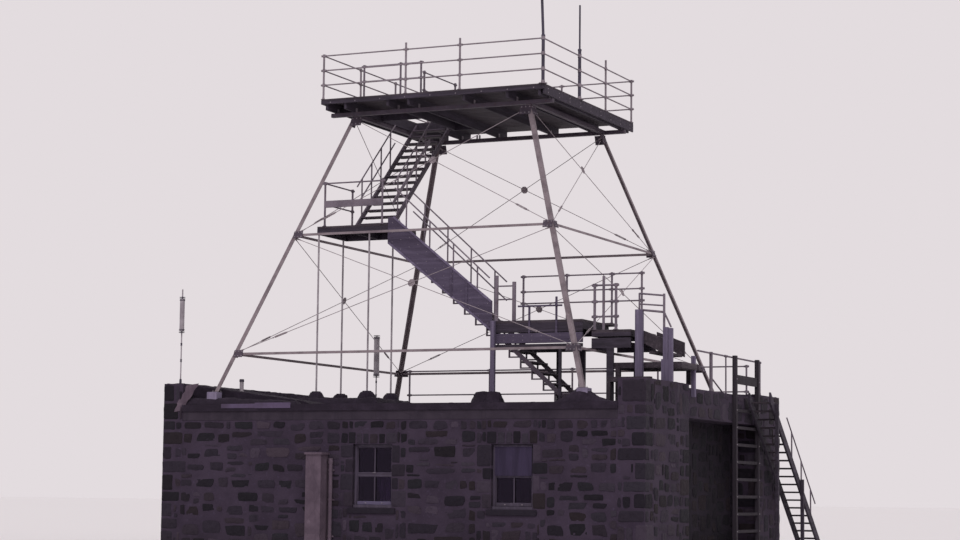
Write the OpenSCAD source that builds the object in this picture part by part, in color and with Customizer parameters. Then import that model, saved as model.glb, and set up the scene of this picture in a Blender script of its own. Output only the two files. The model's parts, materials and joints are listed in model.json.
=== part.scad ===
// Fire lookout tower: a braced steel tower with an open viewing platform,
// standing on the walls of a single-storey rubble stone building.
// X runs along the front wall, Y from the front to the back, Z up from the ground.

/* [Stone building] */
// Length of the building along X
building_len = 11770; // [11400:10:12400]
// Depth of the building along Y
building_depth = 9500; // [9400:10:9900]
// How far the building's middle stands to the right of the tower's
building_shift = 115; // [0:5:200]
// Thickness of the front, back and left walls
wall_t = 500; // [400:10:600]
// Thickness of the right wall
end_wall_t = 610; // [500:10:700]
// Height of the walls under the roof slab
wall_h = 3160; // [3000:10:3400]
// Height of the concrete ring beam at the top of the front and back walls
ring_beam_h = 230; // [150:10:300]
// Thickness of the roof slab
roof_t = 130; // [100:10:240]
// Height that the end walls rise above the roof
upstand_h = 490; // [300:10:600]
// Thickness of the ground floor
floor_t = 150; // [100:10:200]
// Width of a window opening
window_w = 970; // [800:10:1100]
// Height of a window opening
window_h = 1390; // [1100:10:1500]
// Height of the window sills above the ground
sill_z = 1010; // [800:10:1200]
// Width of the doorway in the porch
doorway_w = 950; // [800:10:1100]
// Height of the doorway in the porch
doorway_h = 2080; // [1950:10:2200]

/* [Tower frame] */
// Half the distance between the leg feet
foot_half = 4550; // [4450:10:4560]
// Half the distance between the leg tops
top_half = 2286; // [2150:2:2350]
// Height of the leg tops above their feet
top_z = 6600; // [6400:10:6800]
// Height of the footing blocks under the legs
footing_h = 298; // [200:2:400]
// Width of the flanges of an angle leg
leg_flange = 100; // [80:5:150]
// Thickness of the flanges of an angle leg
leg_t = 12; // [8:1:16]
// Height of the lower ring of struts
low_ring_z = 880; // [700:10:1100]
// Height of the middle ring of struts
mid_ring_z = 3700; // [3500:10:3800]
// Width of the ring struts
strut_w = 60; // [40:5:100]
// Diameter of the bracing rods
rod_d = 16; // [12:1:22]

/* [Platform] */
// Half the width of the square deck
deck_half = 2850; // [2780:10:2950]
// Depth of the main beams on the leg tops
beam_h = 90; // [80:10:200]
// Depth of the joists on the beams
joist_h = 225; // [150:5:250]
// Thickness of the deck boards
board_t = 35; // [30:5:60]
// Height of the platform railing
rail_h = 1060; // [950:10:1200]
// Height of the corner mast above the deck
mast_h = 2850; // [2000:50:3200]

/* [Stairs and landings] */
// Height of the upper landing above the leg feet
upper_landing_z = 3900; // [3860:10:4000]
// Height of the left part of the lower landing above the leg feet
lower_landing_z = 1580; // [1540:10:1640]
// Width of the two flights over their stringers
flight_w = 1000; // [900:10:1050]
// Number of rises in the upper flight
upper_rises = 16; // [15:1:18]
// Number of rises in the lower flight
lower_rises = 17; // [16:1:24]
// Number of rises in the outside flight from the ground to the top of the right wall
outer_rises = 20; // [18:1:22]
// Width of the outside flight over its stringers
outer_flight_w = 560; // [520:10:700]
// Height of the stair and landing handrails
handrail_h = 950; // [900:10:1050]

/* [Hidden] */

// Building outline
left_x = building_shift - building_len / 2;
right_x = building_shift + building_len / 2;
front_y = -building_depth / 2;
back_y = building_depth / 2;
end_wall_x = right_x - end_wall_t;
roof_z = wall_h + roof_t;
end_wall_top = roof_z + upstand_h;
window_x = [-360, 2985];
porch_near_y = -1990;
porch_far_y = 2900;
porch_head_z = 3040;
porch_wall_t = 250;
doorway_y = -900;
sash_t = 70;
sash_depth = 80;
glass_t = 8;

ring_beam_z = wall_h - ring_beam_h;

// Heights below are measured from the leg feet, which stand at foot_z on their base plates
base_plate_t = 12;
foot_z = roof_z + footing_h + base_plate_t;
roof_level = roof_z - foot_z;

// Tower faces lean in by the batter angle
batter = atan((foot_half - top_half) / top_z);
leg_lean = atan(sqrt(2) * (foot_half - top_half) / top_z);
flange_turn = (180 - acos(pow(sin(batter), 2))) / 2;
ring_z = [low_ring_z, mid_ring_z];
panel_z = [low_ring_z, mid_ring_z, top_z];
strut_t = 8;
plate_t = 8;

// Platform levels
beam_w = 110;
joist_w = 60;
joist_z = top_z + beam_h;
board_z = joist_z + joist_h;
deck_z = board_z + board_t;
opening_x = [-2200, -1150];
opening_y = [-930, 850];
board_pitch = 187;
board_gap = 8;

// Clearance left where framing pieces meet end to face
fit_gap = 2;

// Upper landing and upper flight
upper_post_x = [-2755, -1430];
upper_post_y = [-3000, -1800];
bed_h = 120;
mound_h = 250;
landing_near_y = -3050;
upper_landing_x = [-2780, -920];
upper_landing_far_y = -1600;
upper_flight_x = -2190;
upper_flight_y = -2400;
upper_rise = (deck_z - upper_landing_z) / upper_rises;
upper_going = 203;
stringer_t = 50;
upper_stringer_h = 140;
tread_t = 40;
pipe_d = 42;

// Lower flight and lower landing
lower_flight_x = upper_landing_x[1];
lower_rise = (upper_landing_z - roof_level) / lower_rises;
lower_slope = 0.8935;
lower_going = lower_rise / lower_slope;
lower_landing_x = [1760, 5050];
lower_landing_step = 250;
lower_landing_far_y = -1500;
brace_gap_x = [3920, 4140];
landing_beam_t = 60;
side_deck_z = 620;

// Plain shapes used by the sub-parts

module block(x, y, z) {
    translate([x[0], y[0], z[0]]) cube([x[1] - x[0], y[1] - y[0], z[1] - z[0]]);
}

module at_feet() {
    translate([0, 0, foot_z]) children();
}

// A round bar of few sides from one point to another
module rod(a, b, d, sides = 8) {
    v = b - a;
    run = norm(v);
    translate(a) rotate([0, acos(v.z / run), atan2(v.y, v.x)]) cylinder(h = run, d = d, $fn = sides);
}

// A railing: posts at the points from first to last, and rails between all points at each height
module railing(points, heights, post_h, post_d, rail_d, first = 0, last = undef) {
    end = is_undef(last) ? len(points) - 1 : last;
    for (i = [first : 1 : end]) rod(points[i], points[i] + [0, 0, post_h], post_d, 12);
    for (i = [0 : len(points) - 2], h = heights) {
        rod(points[i] + [0, 0, h], points[i + 1] + [0, 0, h], rail_d);
    }
}

// Half the tower's width at a height above the feet
function half_at(z) = foot_half - (foot_half - top_half) * z / top_z;

// One tower face, seen from outside: x along the face, y up its slope, z outward
module face(side) {
    rotate([0, 0, 90 * side]) translate([0, -foot_half, 0]) rotate([90 - batter, 0, 0]) children();
}

// Distance up the slope of a face
function slope_at(z) = z / cos(batter);

// Building

module stone_wall(x, y, z, windows) {
    difference() {
        block(x, y, z);
        for (wx = windows) {
            block([wx - window_w / 2, wx + window_w / 2], [y[0] - 1, y[1] + 1], [sill_z, sill_z + window_h]);
        }
    }
}

module front_wall() {
    color("#5d5260") stone_wall([left_x + wall_t, end_wall_x], [front_y, front_y + wall_t], [0, ring_beam_z],
        window_x);
}

module back_wall() {
    color("#5d5260") stone_wall([left_x + wall_t, end_wall_x], [back_y - wall_t, back_y], [0, ring_beam_z],
        window_x);
}

module left_wall() {
    color("#5d5260") block([left_x, left_x + wall_t], [front_y, back_y], [0, end_wall_top]);
}

module right_wall_front() {
    color("#6a5d69") block([end_wall_x, right_x], [front_y, porch_near_y], [0, end_wall_top]);
}

module right_wall_back() {
    color("#6a5d69") block([end_wall_x, right_x], [porch_far_y, back_y], [0, end_wall_top]);
}

module porch_wall() {
    lap = 200;
    color("#4a4150") difference() {
        block([end_wall_x - porch_wall_t, end_wall_x], [porch_near_y - lap, porch_far_y + lap], [floor_t, wall_h]);
        block([end_wall_x - porch_wall_t - 1, end_wall_x + 1],
            [doorway_y - doorway_w / 2, doorway_y + doorway_w / 2], [floor_t - 1, floor_t + doorway_h]);
    }
}

module porch_lintel() {
    color("#776a78") block([end_wall_x, right_x], [porch_near_y, porch_far_y], [porch_head_z, end_wall_top - 80]);
}

// Plain concrete beams that tie the long walls under the roof
module ring_beams() {
    color("#5f5562") for (y = [front_y, back_y - wall_t]) {
        block([left_x + wall_t, end_wall_x], [y, y + wall_t], [ring_beam_z, wall_h]);
    }
}

module ground_floor() {
    color("#5a555c") union() {
        block([left_x + wall_t, end_wall_x], [front_y + wall_t, back_y - wall_t], [0, floor_t]);
        block([end_wall_x - 1, right_x], [porch_near_y, porch_far_y], [0, floor_t]);
    }
}

module roof_slab() {
    color("#3a3340") block([left_x + wall_t, end_wall_x], [front_y, back_y], [wall_h, roof_z]);
}

// The drip edge of the roof, the covering banked up against the left wall behind the leg footing,
// and the low bed of covering round the posts of the upper landing
module roof_edge() {
    drip_t = 35;
    drip_z = wall_h - 20;
    bank_y = [front_y + 440, front_y + 1700];
    bank_foot_x = left_x + wall_t + 3150;
    bank = [
        [left_x + wall_t, roof_z], [bank_foot_x, roof_z], [bank_foot_x - 250, roof_z + 90],
        [left_x + wall_t, end_wall_top - 30]
    ];
    bed_x = [upper_post_x[0] - 330, upper_post_x[1] + 330];
    bed_y = [upper_post_y[0] - 280, upper_post_y[1] + 280];
    color("#2f2936") {
        block([left_x + wall_t, end_wall_x], [front_y - drip_t, front_y], [drip_z, roof_z]);
        translate([0, bank_y[1], 0]) rotate([90, 0, 0]) linear_extrude(bank_y[1] - bank_y[0]) polygon(bank);
        block(bed_x, bed_y, [roof_z, roof_z + bed_h]);
    }
}

module window_frame() {
    w = window_w / 2;
    mid = window_h * 0.52;
    rotate([90, 0, 0]) linear_extrude(sash_depth) difference() {
        translate([-w, 0]) square([window_w, window_h]);
        translate([sash_t - w, sash_t]) square([window_w - 2 * sash_t, mid - 1.5 * sash_t]);
        translate([sash_t - w, mid + sash_t / 2]) square([window_w - 2 * sash_t, window_h - mid - 1.5 * sash_t]);
    }
    block([-w, w], [-sash_depth - 80, -sash_depth], [0, 60]);
}

module window_panes() {
    w = window_w / 2 - sash_t;
    mid = window_h * 0.52;
    block([-w, w], [-sash_depth / 2, glass_t - sash_depth / 2], [sash_t, mid - sash_t / 2]);
    block([-w, w], [-sash_depth / 2, glass_t - sash_depth / 2], [mid + sash_t / 2, window_h - sash_t]);
}

module at_windows() {
    reveal = 200;
    for (wx = window_x) {
        translate([wx, front_y + reveal, sill_z]) children();
        translate([wx, back_y - reveal, sill_z]) rotate([0, 0, 180]) children();
    }
}

module window_frames() {
    color("#b9aebc") at_windows() window_frame();
}

module window_glass() {
    color("#20202a") at_windows() window_panes();
}

// Square flue box against the front wall, with a pipe beside it
module flue() {
    flue_x = [-1830, -1450];
    flue_top = 2160;
    pipe_x = flue_x[1] + 90;
    color("#a59a9c") union() {
        block(flue_x, [front_y - 350, front_y], [0, flue_top]);
        block([flue_x[0] - 30, flue_x[1] + 30], [front_y - 380, front_y], [flue_top, flue_top + 50]);
    }
    color("#8f8590") translate([pipe_x, front_y - 60, 0]) cylinder(h = flue_top - 80, d = 90, $fn = 24);
}

module leg_footings() {
    size = 260;
    color("#b3a9b8") for (x = [-1, 1], y = [-1, 1]) {
        translate([x * foot_half, y * foot_half, roof_z + footing_h / 2]) cube([size, size, footing_h], center = true);
    }
}

// Low mounded footings under the pipe posts of the upper landing and the first post of the lower one
module post_footings() {
    color("#3a3340") for (x = upper_post_x, y = upper_post_y) {
        translate([x, y, roof_z + bed_h]) cylinder(h = mound_h, r1 = 220, r2 = 100, $fn = 24);
    }
    color("#5f5562") translate([end_post_x, landing_outer_y - 25 - end_post_w / 2, roof_z])
        cylinder(h = mound_h, r1 = 240, r2 = 110, $fn = 24);
}

// A slender pole of height h with a thicker length between two parts of its height
module aerial(h, d, thick) {
    union() {
        cylinder(h = h, d = 30, $fn = 16);
        translate([0, 0, h * thick[0]]) cylinder(h = h * (thick[1] - thick[0]), d = d, $fn = 16);
    }
}

// Vent pipe and two slender aerials on the roof
module roof_pipes() {
    vent = [-4220, -3900];
    color("#5a4f5c") translate([vent.x, vent.y, roof_z]) cylinder(h = 620, d = 95, $fn = 24);
    color("#6d6470") {
        translate([-5500, -4500, end_wall_top]) aerial(2200, 110, [0.56, 0.9]);
        translate([-3520, 1500, roof_z]) aerial(1980, 140, [0.5, 0.99]);
    }
}

ladder_y = [1100, 2800];
ladder_top = foot_z + 1000;

// Timber ladder frame standing against the right wall and rising above the roof
module wall_ladder() {
    post = 100;
    rung_h = 70;
    color("#5b4d58") union() {
        for (y = ladder_y) block([right_x, right_x + post], [y - post / 2, y + post / 2], [0, ladder_top]);
        for (z = [500 : 400 : 3300]) {
            block([right_x + 30, right_x + 70], ladder_y, [z, z + rung_h]);
        }
        block([right_x + 30, right_x + 70], ladder_y, [foot_z + 350, foot_z + 560]);
    }
}

// Top rail along the right edge, carried by three posts and stayed by a slanting bar
module roof_rail_right() {
    x = right_x - 120;
    top = 1000;
    low = end_wall_top - foot_z - 80;
    y = [-1050, -130, 940, 3530];
    color("#4f4453") at_feet() union() {
        rod([x, y[0], top - 20], [x, y[3], top - 20], 42);
        rod([x, y[1], low], [x, y[1], top + 10], 80, 12);
        rod([x, y[2], low], [x, y[2], top - 20], 36, 12);
        rod([x, y[3], low + 80], [x, y[3], top + 10], 60, 12);
        rod([x, y[1], low + 330], [x, y[2] - 180, low], 36);
    }
}

module roof_rail_back() {
    top = 1000 + footing_h;
    y = back_y - 90;
    bays = 4;
    from = -foot_half + 400;
    step = (end_wall_x - 200 - from) / bays;
    color("#4f4453") translate([0, 0, roof_z]) railing([for (i = [0 : bays]) [from + i * step, y, 0]],
        [top * 0.5, top - 20], top, 48, 36);
}

// Tower frame

// An angle leg whose two flanges lie in the two faces that meet at its corner
module leg(corner) {
    run = top_z / cos(leg_lean) + 400;
    rotate([0, 0, 90 * corner]) intersection() {
        translate([-foot_half, -foot_half, 0]) rotate([0, leg_lean, 45]) translate([0, 0, -200])
            linear_extrude(run) union() {
                rotate(-flange_turn) square([leg_flange, leg_t]);
                mirror([0, 1]) rotate(-flange_turn) square([leg_flange, leg_t]);
            }
        block([-foot_half - 200, 0], [-foot_half - 200, 0], [0, top_z]);
    }
}

module tower_legs() {
    color("#6b5c68") at_feet() for (k = [0 : 3]) leg(k);
}

// Struts of a face lie flat on the inside of the leg flanges
module strut(z) {
    reach = half_at(z) - 40;
    translate([-reach, slope_at(z) - strut_w / 2, -leg_t - strut_t]) cube([2 * reach, strut_w, strut_t]);
}

module tower_rings() {
    color("#5f5260") at_feet() for (k = [0 : 3], z = ring_z) face(k) strut(z);
}

// Crossed rods of one face in both panels, with a plate where they pass
module face_braces() {
    for (i = [0 : 1]) {
        z0 = panel_z[i] + 60;
        z1 = panel_z[i + 1] - 60;
        a = half_at(z0) - 70;
        b = half_at(z1) - 70;
        rise = slope_at(z1) - slope_at(z0);
        mid = slope_at(z0) + rise * a / (a + b);
        inner = -leg_t - strut_t - rod_d / 2 - 2;
        outer = inner - plate_t - rod_d - 1;
        rod([-a, slope_at(z0), inner], [b, slope_at(z1), inner], rod_d);
        rod([a, slope_at(z0), outer], [-b, slope_at(z1), outer], rod_d);
        translate([0, mid, (inner + outer) / 2]) rotate([0, 0, 22.5])
            cylinder(h = plate_t, d = 190, $fn = 8, center = true);
    }
}

module braces_front() {
    color("#574b58") at_feet() face(0) face_braces();
}

module braces_right() {
    color("#574b58") at_feet() face(1) face_braces();
}

module braces_back() {
    color("#574b58") at_feet() face(2) face_braces();
}

module braces_left() {
    color("#574b58") at_feet() face(3) face_braces();
}

// Gusset plates on the outside of the flanges, at the rings and under the platform
module gusset(z, w, h) {
    for (s = [-1, 1]) {
        translate([s * (half_at(z) - w / 2 - 14), slope_at(z), plate_t / 2]) cube([w, h, plate_t], center = true);
    }
}

module joint_plates() {
    color("#4f4453") at_feet() for (k = [0 : 3]) face(k) {
        for (z = ring_z) gusset(z, 230, 170);
        gusset(top_z - 130, 280, 230);
    }
    color("#4f4453") translate([0, 0, foot_z - base_plate_t / 2]) for (x = [-1, 1], y = [-1, 1]) {
        translate([x * (foot_half - 40), y * (foot_half - 40), 0]) cube([180, 180, base_plate_t], center = true);
    }
}

// Platform

module platform_beams() {
    color("#4a3f4d") at_feet() {
        for (y = [-top_half, top_half]) {
            block([-deck_half, deck_half], [y - beam_w / 2, y + beam_w / 2], [top_z, joist_z]);
        }
        for (x = [-top_half, top_half]) {
            side = top_half - beam_w / 2 - fit_gap;
            block([x - beam_w / 2, x + beam_w / 2], [-side, side], [top_z, joist_z]);
        }
    }
}

header_y = [opening_y[0] - joist_w, opening_y[1]];
long_joist_x = [-2720, opening_x[0] - joist_w / 2, -580, 840, 1920, 2720];

// Six joists run the full depth; a trimmer and a tail joist end on the headers of the stair opening
module platform_joists() {
    reach = deck_half - 50;
    w = joist_w / 2;
    trimmer_x = opening_x[1] + w;
    tail_x = -1600;
    z = [joist_z, board_z];
    color("#43394a") at_feet() {
        for (x = long_joist_x) block([x - w, x + w], [-reach, reach], z);
        block([trimmer_x - w, trimmer_x + w], [-reach, header_y[1] - fit_gap], z);
        block([tail_x - w, tail_x + w], [header_y[1] + joist_w + fit_gap, reach], z);
        block([opening_x[0] + fit_gap, opening_x[1] - fit_gap], [header_y[0], header_y[0] + joist_w], z);
        block([opening_x[0] + fit_gap, long_joist_x[2] - w - fit_gap], [header_y[1], header_y[1] + joist_w], z);
    }
}

// Edge boards under the deck on three sides; the far side is left open
module platform_fascia() {
    t = 40;
    low = board_z - 90;
    inner = deck_half - t;
    color("#3c3342") at_feet() {
        block([-deck_half, deck_half], [-deck_half, -inner], [low, board_z]);
        block([-deck_half, -inner], [fit_gap - inner, deck_half], [low, board_z]);
        block([inner, deck_half], [fit_gap - inner, deck_half], [board_z - 200, board_z]);
    }
}

module platform_deck() {
    boards = round(2 * deck_half / board_pitch);
    pitch = 2 * deck_half / boards;
    color("#554958") at_feet() for (i = [0 : boards - 1]) {
        y = -deck_half + i * pitch;
        cut = y + pitch > opening_y[0] && y < opening_y[1];
        if (cut) {
            block([-deck_half, opening_x[0]], [y, y + pitch - board_gap], [board_z, deck_z]);
            block([opening_x[1], deck_half], [y, y + pitch - board_gap], [board_z, deck_z]);
        } else {
            block([-deck_half, deck_half], [y, y + pitch - board_gap], [board_z, deck_z]);
        }
    }
}

rail_line = deck_half - 40;
third = 2 * rail_line / 3;
rail_levels = [340, 690, rail_h - 20];
post_d = 48;
rail_d = 34;
mast_d = 76;
post_clear = post_d / 2 + 1;
mast_clear = mast_d / 2 + 1;
side_mast_y = -620;

// The corner posts belong to the front and back railings, and the near right one is the mast
module platform_rail_front() {
    p = [for (x = [-rail_line, -650, 735, rail_line - mast_clear]) [x, -rail_line, deck_z]];
    color("#5a4e5b") at_feet() union() {
        railing(p, rail_levels, rail_h, post_d, rail_d, 0, 2);
        for (i = [1, 2]) rod(p[i], p[i] + [0, 0, rail_h + 130], post_d, 12);
    }
}

module platform_rail_back() {
    p = [for (i = [0 : 3]) [-rail_line + i * third, rail_line, deck_z]];
    color("#5a4e5b") at_feet() railing(p, rail_levels, rail_h, post_d, rail_d);
}

// The second post on this side rises above the top rail
module platform_rail_right() {
    post_y = 1060;
    near = [for (y = [mast_clear - rail_line, side_mast_y - mast_clear]) [rail_line, y, deck_z]];
    far = [for (y = [side_mast_y + mast_clear, post_y, rail_line - post_clear]) [rail_line, y, deck_z]];
    color("#5a4e5b") at_feet() {
        for (h = rail_levels) rod(near[0] + [0, 0, h], near[1] + [0, 0, h], rail_d);
        union() {
            railing(far, rail_levels, rail_h, post_d, rail_d, 1, 1);
            rod(far[1], far[1] + [0, 0, rail_h + 180], post_d, 12);
        }
    }
}

module platform_rail_left() {
    p = [for (y = [post_clear - rail_line, -third / 2, third / 2, rail_line - post_clear]) [-rail_line, y, deck_z]];
    color("#5a4e5b") at_feet() railing(p, rail_levels, rail_h, post_d, rail_d, 1, 2);
}

// Railing round the stair opening: a high panel on its near side and a lower one on its right
module stair_guard() {
    y = opening_y[0] - 60;
    x = opening_x[1] + 60;
    high = rail_h + 70;
    low = rail_h - 160;
    color("#5a4e5b") at_feet() {
        railing([[120 - rail_line, y, deck_z], [-1700, y, deck_z], [x - 60, y, deck_z]], [740, high - 20], high,
            post_d, rail_d);
        railing([[x, y + 60, deck_z], [x, opening_y[1] - 40, deck_z]], [430, low - 30], low, post_d, rail_d);
    }
}

// A tall mast at the near right corner, leaning a little above its sleeve, and a shorter one on the
// right side
module masts() {
    side_mast_h = 2250;
    sleeve_h = 1100;
    lean = 2.4;
    color("#4c414f") at_feet() {
        translate([rail_line, -rail_line, deck_z]) union() {
            cylinder(h = sleeve_h, d = mast_d, $fn = 24);
            translate([0, 0, sleeve_h - 40]) rotate([0, -lean, 0])
                cylinder(h = mast_h - sleeve_h + 40, d = mast_d - 14, $fn = 24);
        }
        translate([rail_line, side_mast_y, deck_z]) union() {
            cylinder(h = side_mast_h, d = 42, $fn = 24);
            cylinder(h = rail_h + 120, d = mast_d, $fn = 24);
        }
    }
}

// Upper flight and landing

// Side outline of a stringer: run along x, rise along y, level at its foot and cut plumb at its top
module stringer_outline(run, rise, depth) {
    polygon([[0, 0], [run, rise], [run, rise - depth], [depth * run / rise, 0]]);
}

upper_run = upper_going * upper_rises;

module upper_stringer(x) {
    translate([x + stringer_t, upper_flight_y, upper_landing_z]) rotate([90, 0, -90]) mirror([1, 0, 0])
        linear_extrude(stringer_t) stringer_outline(upper_run, upper_rises * upper_rise - 70, upper_stringer_h);
}

module upper_stair_stringers() {
    color("#5a4d5b") at_feet() {
        upper_stringer(upper_flight_x);
        upper_stringer(upper_flight_x + flight_w - stringer_t);
    }
}

module upper_stair_treads() {
    x = [upper_flight_x + stringer_t, upper_flight_x + flight_w - stringer_t];
    color("#4e4350") at_feet() for (i = [1 : upper_rises - 1]) {
        y = upper_flight_y + (i - 0.35) * upper_going;
        z = upper_landing_z + i * upper_rise - 60;
        block(x, [y, y + upper_going + 30], [z - tread_t, z]);
    }
}

// A sloping handrail with posts: a and b are the ends of the line that the posts stand on, and drop
// is how far the posts reach below it
module slope_rail(a, b, posts, heights, d, drop = 160) {
    for (h = heights) rod(a + [0, 0, h], b + [0, 0, h], d);
    for (i = [0 : posts - 1]) {
        foot = a + (b - a) * (i + 0.5) / posts;
        rod(foot - [0, 0, drop], foot + [0, 0, max(heights)], d + 4);
    }
}

// Handrails that stand on the stringers and end under the platform; the right one has a flat guard
// board in place of its middle rail
module upper_stair_rails() {
    upper_rail_h = 880;
    board_h = 110;
    slope = (upper_rises * upper_rise - 70) / upper_run;
    y = [150, 2080];
    x = [upper_flight_x + stringer_t / 2, upper_flight_x + flight_w - stringer_t / 2];
    from = [for (rail_x = x) [rail_x, upper_flight_y + y[0], upper_landing_z + y[0] * slope]];
    to = [for (rail_x = x) [rail_x, upper_flight_y + y[1], upper_landing_z + y[1] * slope]];
    color("#5a4e5b") at_feet() {
        slope_rail(from[0], to[0], 4, [upper_rail_h * 0.5, upper_rail_h], rail_d, 0);
        union() {
            slope_rail(from[1], to[1], 4, [upper_rail_h], rail_d, 0);
            translate([x[1] + 12, from[1].y, from[1].z + upper_rail_h * 0.5]) rotate([90, 0, -90]) mirror([1, 0, 0])
                linear_extrude(24) polygon([[0, -board_h / 2], [to[1].y - from[1].y, to[1].z - from[1].z - board_h / 2],
                    [to[1].y - from[1].y, to[1].z - from[1].z + board_h / 2], [0, board_h / 2]]);
        }
    }
}

landing_edge_h = 140;
frame_t = 60;

module upper_landing_deck() {
    boards = 8;
    depth = upper_landing_far_y - landing_near_y;
    pitch = depth / boards;
    color("#4a3f4d") at_feet() for (i = [0 : boards - 1]) {
        y = landing_near_y + i * pitch;
        block(upper_landing_x, [y, y + pitch - 6], [upper_landing_z - 50, upper_landing_z]);
    }
}

module upper_landing_frame() {
    z = [upper_landing_z - 50 - landing_edge_h, upper_landing_z - 50];
    color("#43394a") at_feet() {
        for (y = [landing_near_y, upper_landing_far_y - frame_t]) {
            block(upper_landing_x, [y, y + frame_t], z);
        }
        for (x = [upper_landing_x[0], -1900, upper_landing_x[1] - frame_t]) {
            block([x, x + frame_t],
                [landing_near_y + frame_t + fit_gap, upper_landing_far_y - frame_t - fit_gap], z);
        }
    }
}

module upper_landing_rail() {
    near = landing_near_y + 30;
    left = -2600;
    h = 1030;
    color("#5a4e5b") at_feet() {
        union() {
            railing([[left, near, upper_landing_z], [-1100, near, upper_landing_z]], [h - 20], h, 48, 36);
            block([left, -1100], [near - 20, near + 20], [upper_landing_z + 440, upper_landing_z + 600]);
        }
        railing([[left, near + 50, upper_landing_z], [left, upper_landing_far_y - 60, upper_landing_z]],
            [h * 0.5, h - 20], h, 48, 36, 1);
    }
}

module upper_landing_posts() {
    top = upper_landing_z - 50 - landing_edge_h;
    foot = roof_level + bed_h + mound_h;
    color("#75697a") at_feet() for (x = upper_post_x, y = upper_post_y) {
        translate([x, y, foot]) cylinder(h = top - foot, d = pipe_d, $fn = 16);
    }
}

// Lower flight

lower_drop = upper_landing_z - roof_level;
lower_stringer_t = 40;
stringer_top = 60;
stringer_low = 190;
bracket_low = 420;
bracket_w = 30;

// Side outline of a thin stringer with a stepped bracket hanging under each tread, seen along the flight
module lower_stringer_outline() {
    polygon([[0, -stringer_top], [(lower_drop - stringer_top) / lower_slope, -lower_drop],
        [(lower_drop - stringer_low) / lower_slope, -lower_drop], [0, -stringer_low]]);
    reach = (bracket_low - stringer_low) / lower_slope + 20;
    for (i = [0 : lower_rises - 2]) translate([i * lower_going, -i * lower_rise]) {
        translate([0, -bracket_low]) square([bracket_w, bracket_low - stringer_low + 30]);
        translate([0, -bracket_low]) square([reach, bracket_w]);
    }
}

module lower_stair_stringers() {
    color("#5a4d5b") at_feet() for (y = [landing_near_y, landing_near_y + flight_w - lower_stringer_t]) {
        translate([lower_flight_x, y + lower_stringer_t, upper_landing_z]) rotate([90, 0, 0])
            linear_extrude(lower_stringer_t) lower_stringer_outline();
    }
}

module lower_stair_treads() {
    y = [landing_near_y + lower_stringer_t, landing_near_y + flight_w - lower_stringer_t];
    color("#4e4350") at_feet() for (i = [1 : lower_rises - 1]) {
        x = lower_flight_x + (i - 1) * lower_going;
        z = upper_landing_z - i * lower_rise;
        block([x + fit_gap, x + lower_going], y, [z - tread_t, z]);
    }
}

// Light board closing the near side of the lower flight, with upright battens
module lower_stair_side_board() {
    end = lower_landing_x[0] - 30 - lower_flight_x;
    slope = 0.795;
    low = -450;
    high = 240;
    corner = 100;
    t = 30;
    color("#8b7f99") at_feet() translate([lower_flight_x, landing_near_y, upper_landing_z]) rotate([90, 0, 0]) union() {
        linear_extrude(t) polygon([[0, low], [0, high - corner], [corner / slope, high - corner],
            [end, high - end * slope], [end, low - end * slope]]);
        for (x = [1600, 1980]) translate([x, -x * slope, t - 10]) linear_extrude(30) polygon([
            [0, low + 15], [60, low + 15 - 60 * slope], [60, high - 15 - 60 * slope], [0, high - 15]]);
    }
}

// Handrails that stand on the two stringers
module lower_stair_rails() {
    inset = lower_stringer_t / 2;
    x = [lower_flight_x + 150, lower_landing_x[0] - 120];
    drop = (x[1] - x[0]) * lower_slope;
    z = upper_landing_z - 150 * lower_slope;
    color("#5a4e5b") at_feet() {
        for (rail = [[landing_near_y + inset, [1]], [landing_near_y + flight_w - inset, [0.55, 1]]]) {
            slope_rail([x[0], rail[0], z], [x[1], rail[0], z - drop], 4, rail[1] * handrail_h, rail_d,
                stringer_top);
        }
    }
}

// Lower landing: its right part, past the gap that the bracing rods pass through, lies a step lower

landing_outer_y = landing_near_y - 2 - landing_beam_t;
deck_board_t = 60;
landing_right_z = lower_landing_z - lower_landing_step;
landing_left = [lower_landing_x[0], brace_gap_x[0]];
landing_right = [brace_gap_x[1], lower_landing_x[1]];

module lower_landing_deck() {
    boards = 8;
    pitch = (lower_landing_far_y - landing_outer_y) / boards;
    color("#4a3f4d") at_feet() for (i = [0 : boards - 1]) {
        y = [landing_outer_y + i * pitch, landing_outer_y + (i + 1) * pitch - 6];
        left_end = i < boards - 2 ? brace_gap_x[0] : brace_gap_x[1] - fit_gap;
        block([lower_landing_x[0], left_end], y, [lower_landing_z - deck_board_t, lower_landing_z]);
        block(landing_right, y, [landing_right_z - deck_board_t, landing_right_z]);
    }
}

module lower_landing_frame() {
    top = lower_landing_z - deck_board_t;
    low_top = landing_right_z - deck_board_t;
    far = [lower_landing_far_y - landing_beam_t, lower_landing_far_y];
    near = [landing_outer_y, landing_outer_y + landing_beam_t];
    color("#43394a") at_feet() {
        for (y = [near, far]) {
            block(landing_left, y, [top - 210, top]);
            block(landing_left, y, [top - 550, top - 470]);
            block(landing_right, y, [low_top - 90, low_top]);
            block(landing_right, y, [low_top - 340, low_top - 120]);
        }
        for (x = [2000, 2700, 3350, brace_gap_x[0] - 60]) {
            block([x, x + 60], [near[1] + fit_gap, far[0] - fit_gap], [top - 150, top]);
        }
        for (x = [brace_gap_x[1], 4600, lower_landing_x[1] - 60]) {
            block([x, x + 60], [near[1] + fit_gap, far[0] - fit_gap], [low_top - 90, low_top]);
        }
    }
}

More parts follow.
